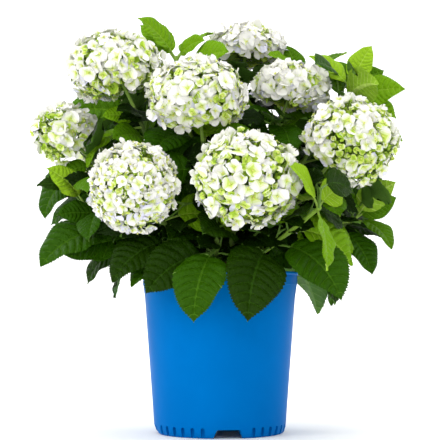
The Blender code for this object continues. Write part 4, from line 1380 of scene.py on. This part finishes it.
# ---------------------------------------------------------------- flower heads
def head_directions(count, lean, dice):
    """Even directions over a head, by the golden angle, with its underside left bare."""
    i = np.arange(count)
    up = 1 - 2 * (i + 0.5) / count
    flat = np.sqrt(1 - up * up)
    angle = dice.uniform(0, 2 * math.pi) + GOLDEN * i
    out = np.stack((flat * np.cos(angle), flat * np.sin(angle), up), axis=-1)
    return out[out @ -np.array(lean) < math.cos(BARE_UNDERSIDE)]


def frames_around(out, spin):
    """Two directions square to each of many directions, turned by spin."""
    side = unit(np.cross(out, level_for(out)))
    over = np.cross(out, side)
    cos, sin = np.cos(spin)[:, None], np.sin(spin)[:, None]
    return side * cos + over * sin, over * cos - side * sin


def over_net(values):
    """Each floret's own value, shaped to meet the points of its sepals' nets."""
    return values[:, None, None]


def sepal_points(net, place, out, spin, radius, shut, rng):
    """The points of every sepal: (florets, sepals, points, 3).

    Each sepal leaves its floret's middle at a pitch, curls back or cups forward along its length, is
    twisted a little about it, and has a waved edge. shut is how far each floret has still to open.
    """
    count = len(place)
    along = np.array(net.along)[:, None]
    across = np.array(net.across)[None, :]
    half_width = np.array(net.half_widths)[:, None]
    opened = rng.normal(*SEPAL_OPENED, count) + shut * UNRIPE_SHUT
    curl = rng.normal(*SEPAL_CURL, count)
    points = []
    for sepal in range(SEPALS):
        stray = rng.uniform(-SEPAL_SPACING_STRAY, SEPAL_SPACING_STRAY, count)
        radial, tangent = frames_around(out, spin + 2 * math.pi * sepal / SEPALS + stray)
        length = over_net(radius * rng.uniform(*SEPAL_LENGTHS, count))
        broad = over_net(rng.uniform(*SEPAL_BREADTHS, count))
        drop = INNER_PAIR_DROP * (sepal % 2)
        pitch = over_net(np.radians(opened + rng.normal(0, SEPAL_PITCH_STRAY, count) - drop))
        bend = over_net(np.radians(curl + rng.normal(0, SEPAL_CURL_STRAY, count)))
        twist = over_net(np.radians(rng.normal(0, SEPAL_TWIST, count)))
        phase = rng.uniform(0, 2 * math.pi, (2, count))
        cup = over_net(rng.uniform(*SEPAL_CUP, count))
        slope = pitch + bend * along
        ahead = length * along * np.cos(slope)
        rise = length * along * np.sin(slope)
        side = length * half_width * across * broad
        ruffle = RUFFLE[0] * np.sin(RUFFLE[1] * across + over_net(phase[0])) * along
        fine = FINE_RUFFLE[0] * np.sin(FINE_RUFFLE[1] * across + over_net(phase[1])) * along**2
        lift = length * (cup * across**2 * along + ruffle + fine)
        lift = lift + rise + side * np.sin(twist)
        grid = (
            over_net(place)
            + over_net(radial) * ahead[..., None]
            + over_net(tangent) * (side * np.cos(twist))[..., None]
            + over_net(out) * lift[..., None]
        )
        points.append(grid.reshape(count, -1, 3))
    return np.stack(points, axis=1)


def sepal_tints(net, green, low, rng):
    """A tint for each row of each sepal's faces: green at the claw, whiter outward and with age.

    Some of the white sepals of low florets, which face down, are lilac, as painted shade.
    """
    count = len(green)
    along = np.array(net.along[:-1]) + np.diff(net.along) / 2
    own = green[:, None, None] + rng.normal(0, SEPAL_GREEN_STRAY, (count, SEPALS, 1))
    tints = np.full((count, SEPALS, len(along)), WHITE)
    for tint, limit in TINT_AGES:
        tints[along - own < limit] = tint
    share = np.where(low, *LILAC_SHADE_SHARES)[:, None]
    shaded = (rng.uniform(0, 1, (count, SEPALS)) < share)[..., None] & (tints == WHITE)
    tints[shaded] = LILAC_SHADE
    return np.repeat(tints, len(net.across) - 1, axis=2)


# A head's layers: share of its reach, of its florets, of their radius, and how much greener they are.
Layer = namedtuple("Layer", "net reach florets radius green")
# The deeper layers are greener, as a head's less open florets are, and partly as painted light: their
# lime stands in for light shining through the sepals into the shaded gaps.
LAYERS = (
    Layer(FINE_NET, 0.94, 1.0, 1.0, 0.0),
    Layer(PLAIN_NET, 0.91, 0.90, 0.50, 0.66),
    Layer(PLAIN_NET, 0.80, 0.45, 0.95, 0.95),
)


def make_head(shoot, plan, pile, stalks):
    """One head's florets, in layers, each on its stalk."""
    name = shoot.name
    look = HEAD_LOOKS.get(name, PLAIN_HEAD)
    rng = np.random.default_rng(list(name.encode()))
    dice = random.Random(f"florets/{name}")
    lean = np.array(heading(plan.curve, 1))
    middle, size = np.array(shoot.tip), np.array(shoot.head)
    below = lean * size.min()
    bead, bead_faces = ball()
    for layer in LAYERS:
        net = layer.net
        out = head_directions(round(look.florets * layer.florets), lean, dice)
        count = len(out)
        depth = rng.triangular(*FLORET_DEPTH, count)[:, None]
        place = middle + out * size * (layer.reach + depth)
        normal = unit(unit(out / size) + rng.normal(0, FLORET_TILT, (count, 3)))
        unripe = rng.uniform(0, 1, count) < look.green
        radius = look.radius * layer.radius * rng.uniform(*FLORET_SIZES, count)
        radius = radius * np.where(unripe, UNRIPE_SIZE, 1.0)
        green = look.green * rng.uniform(*GREEN_SHARES, count) + UNRIPE_GREEN * unripe
        green = green + layer.green - GREENER_BELOW * out[:, 2]
        spin = rng.uniform(0, math.pi / 2, count)
        foot = place - normal * FLORET_SINK
        points = sepal_points(net, foot, normal, spin, radius, unripe, rng)
        faces = grid_faces(len(net.along), len(net.across))[:, ::-1]
        # Florets facing down get painted lilac shade on some of their white sepals.
        finish = sepal_tints(net, green, out[:, 2] < SHADED_FLORET_HEIGHT, rng)
        pile.add(points, faces, finish.reshape(count * SEPALS, -1))
        if net is FINE_NET:
            eyes = (foot + normal * EYE_RISE)[:, None, :]
            pile.add(eyes + bead * EYE_RADIUS, bead_faces, EYE)
        hub = middle - below * HUB_DROP + out * size * HUB_SPREAD
        bend = (hub + foot) / 2 - lean * PEDICEL_SAG
        stalks.add(*limb(np.stack((hub, bend, foot), axis=1), PEDICEL_RADIUS, PEDICEL_SIDES))
    fork = middle - below * FORK_DROP
    rings, sides = TRUNK_SKIN
    trunk = np.linspace(np.array(plan.curve[3]), fork, rings)
    stalks.add(*limb(trunk, np.linspace(TIP_RADIUS, TIP_RADIUS * TRUNK_TAPER, rings), sides))
    rings, sides = BRANCH_SKIN
    for branch in head_directions(BRANCHES, lean, dice):
        end = middle - below * BRANCH_DROP + branch * size * BRANCH_SPREAD
        stalks.add(*limb(np.linspace(fork, end, rings), np.linspace(*BRANCH_RADII, rings), sides))


def make_heads(plans):
    """The flower heads: florets in four pieces, and their stalks in one."""
    groups = {
        "front": ("front", "left_front", "right"),
        "upper": ("upper_left", "upper_right", "top_left"),
        "top": ("top_back", "far_left", "back_left", "left_back"),
        "back": ("back", "back_right", "low_back_left", "low_back_right"),
    }
    finishes = [petal_finish(name, srgb(*color)) for name, color in FLOWER_TINTS]
    stalks = Pile()
    for group, names in groups.items():
        pile = Pile()
        for shoot in SHOOTS:
            if shoot.name in names:
                make_head(shoot, plans[shoot.name], pile, stalks)
        nodes = [f"flower_head_{name}" for name in names]
        pile.piece(f"florets_{group}", finishes, "sepal_white", nodes, sharp=70)
    every = [f"flower_head_{shoot.name}" for shoot in SHOOTS if shoot.head]
    green = stem_finish("flower_stalk", srgb(128, 162, 62))
    stalks.piece("flower_stalks", [green], "sepal_white", every)


# ---------------------------------------------------------------- stage
FLOOR_FRONT = -4.0
FLOOR_BACK = 2.0
FLOOR_HALF_WIDTH = 6
SWEEP_RADIUS = 1.5
SWEEP_STEPS = 12
WALL_TOP = 6.0
SKY_STRENGTH = 0.95

# The lamps: name, place, the point looked at, size and power.
LAMPS = (
    ("key", (-1.9, -1.4, 1.5), (0, 0, 0.30), 1.3, 20),
    ("front", (0.1, -2.4, 0.5), (0, 0, 0.50), 1.0, 7),
    ("top", (0.3, -0.8, 2.4), (0, 0.05, 0.45), 1.2, 14),
    ("rim", (1.7, 1.0, 1.2), (0, 0, 0.25), 0.9, 5),
    ("rim_left", (-1.8, 1.1, 1.5), (0, 0, 0.35), 0.9, 12),
    ("backdrop", (0, 1.2, 2.6), (0, 3.4, 1.2), 2.0, 60),
)

# The camera, as the photo has it. The focal length, the width and the rise are in pixels.
FOCAL = 1258
PICTURE_WIDTH = 440
PICTURE_RISE = 84.3
SENSOR_WIDTH = 36
CAMERA_PLACE = (0, -1.77, 0.178)


def make_floor():
    """A pale floor that sweeps up behind."""
    section = [(FLOOR_FRONT, 0), (FLOOR_BACK, 0)]
    for step in range(1, SWEEP_STEPS + 1):
        angle = math.radians(90 * step / SWEEP_STEPS)
        back = FLOOR_BACK + SWEEP_RADIUS * math.sin(angle)
        section.append((back, SWEEP_RADIUS * (1 - math.cos(angle))))
    section.append((FLOOR_BACK + SWEEP_RADIUS, WALL_TOP))
    verts = [(side, y, z) for y, z in section for side in (-FLOOR_HALF_WIDTH, FLOOR_HALF_WIDTH)]
    faces = [(2 * i, 2 * i + 1, 2 * i + 3, 2 * i + 2) for i in range(len(section) - 1)]
    mesh = bpy.data.meshes.new("floor")
    mesh.from_pydata(verts, [], faces)
    mesh.shade_smooth()
    paper = Finish("paper", srgb(250, 250, 250), roughness=0.9, specular=0.1)
    mesh.materials.append(paper.material)
    floor = placed("floor", mesh)


def make_light():
    """An even white sky and soft square lamps."""
    world = bpy.data.worlds.new("studio")
    world.use_nodes = True
    world.node_tree.nodes["Background"].inputs["Color"].default_value = (1, 1, 1, 1)
    world.node_tree.nodes["Background"].inputs["Strength"].default_value = SKY_STRENGTH
    bpy.context.scene.world = world
    bpy.context.scene.view_settings.view_transform = "Standard"
    for name, place, target, size, power in LAMPS:
        light = bpy.data.lights.new(name, "AREA")
        light.energy = power
        light.size = size
        lamp = placed(name, light)
        lamp.location = place
        towards = Vector(target) - Vector(place)
        lamp.rotation_euler = towards.to_track_quat("-Z", "Y").to_euler()


def make_camera():
    """The camera, at the photo's place and angle."""
    camera = placed("camera", bpy.data.cameras.new("camera"))
    camera.data.sensor_width = SENSOR_WIDTH
    camera.data.lens = FOCAL / PICTURE_WIDTH * SENSOR_WIDTH
    camera.location = CAMERA_PLACE
    camera.rotation_euler = (math.radians(90) + math.atan(PICTURE_RISE / FOCAL), 0, 0)
    bpy.context.scene.camera = camera


plans = plan_shoots()
make_pot()
make_soil()
bark = bark_finish()
make_canes(plans, bark)
make_crown(bark)
make_stems(plans)
make_leaves(plans)
make_heads(plans)
make_floor()
make_light()
make_camera()
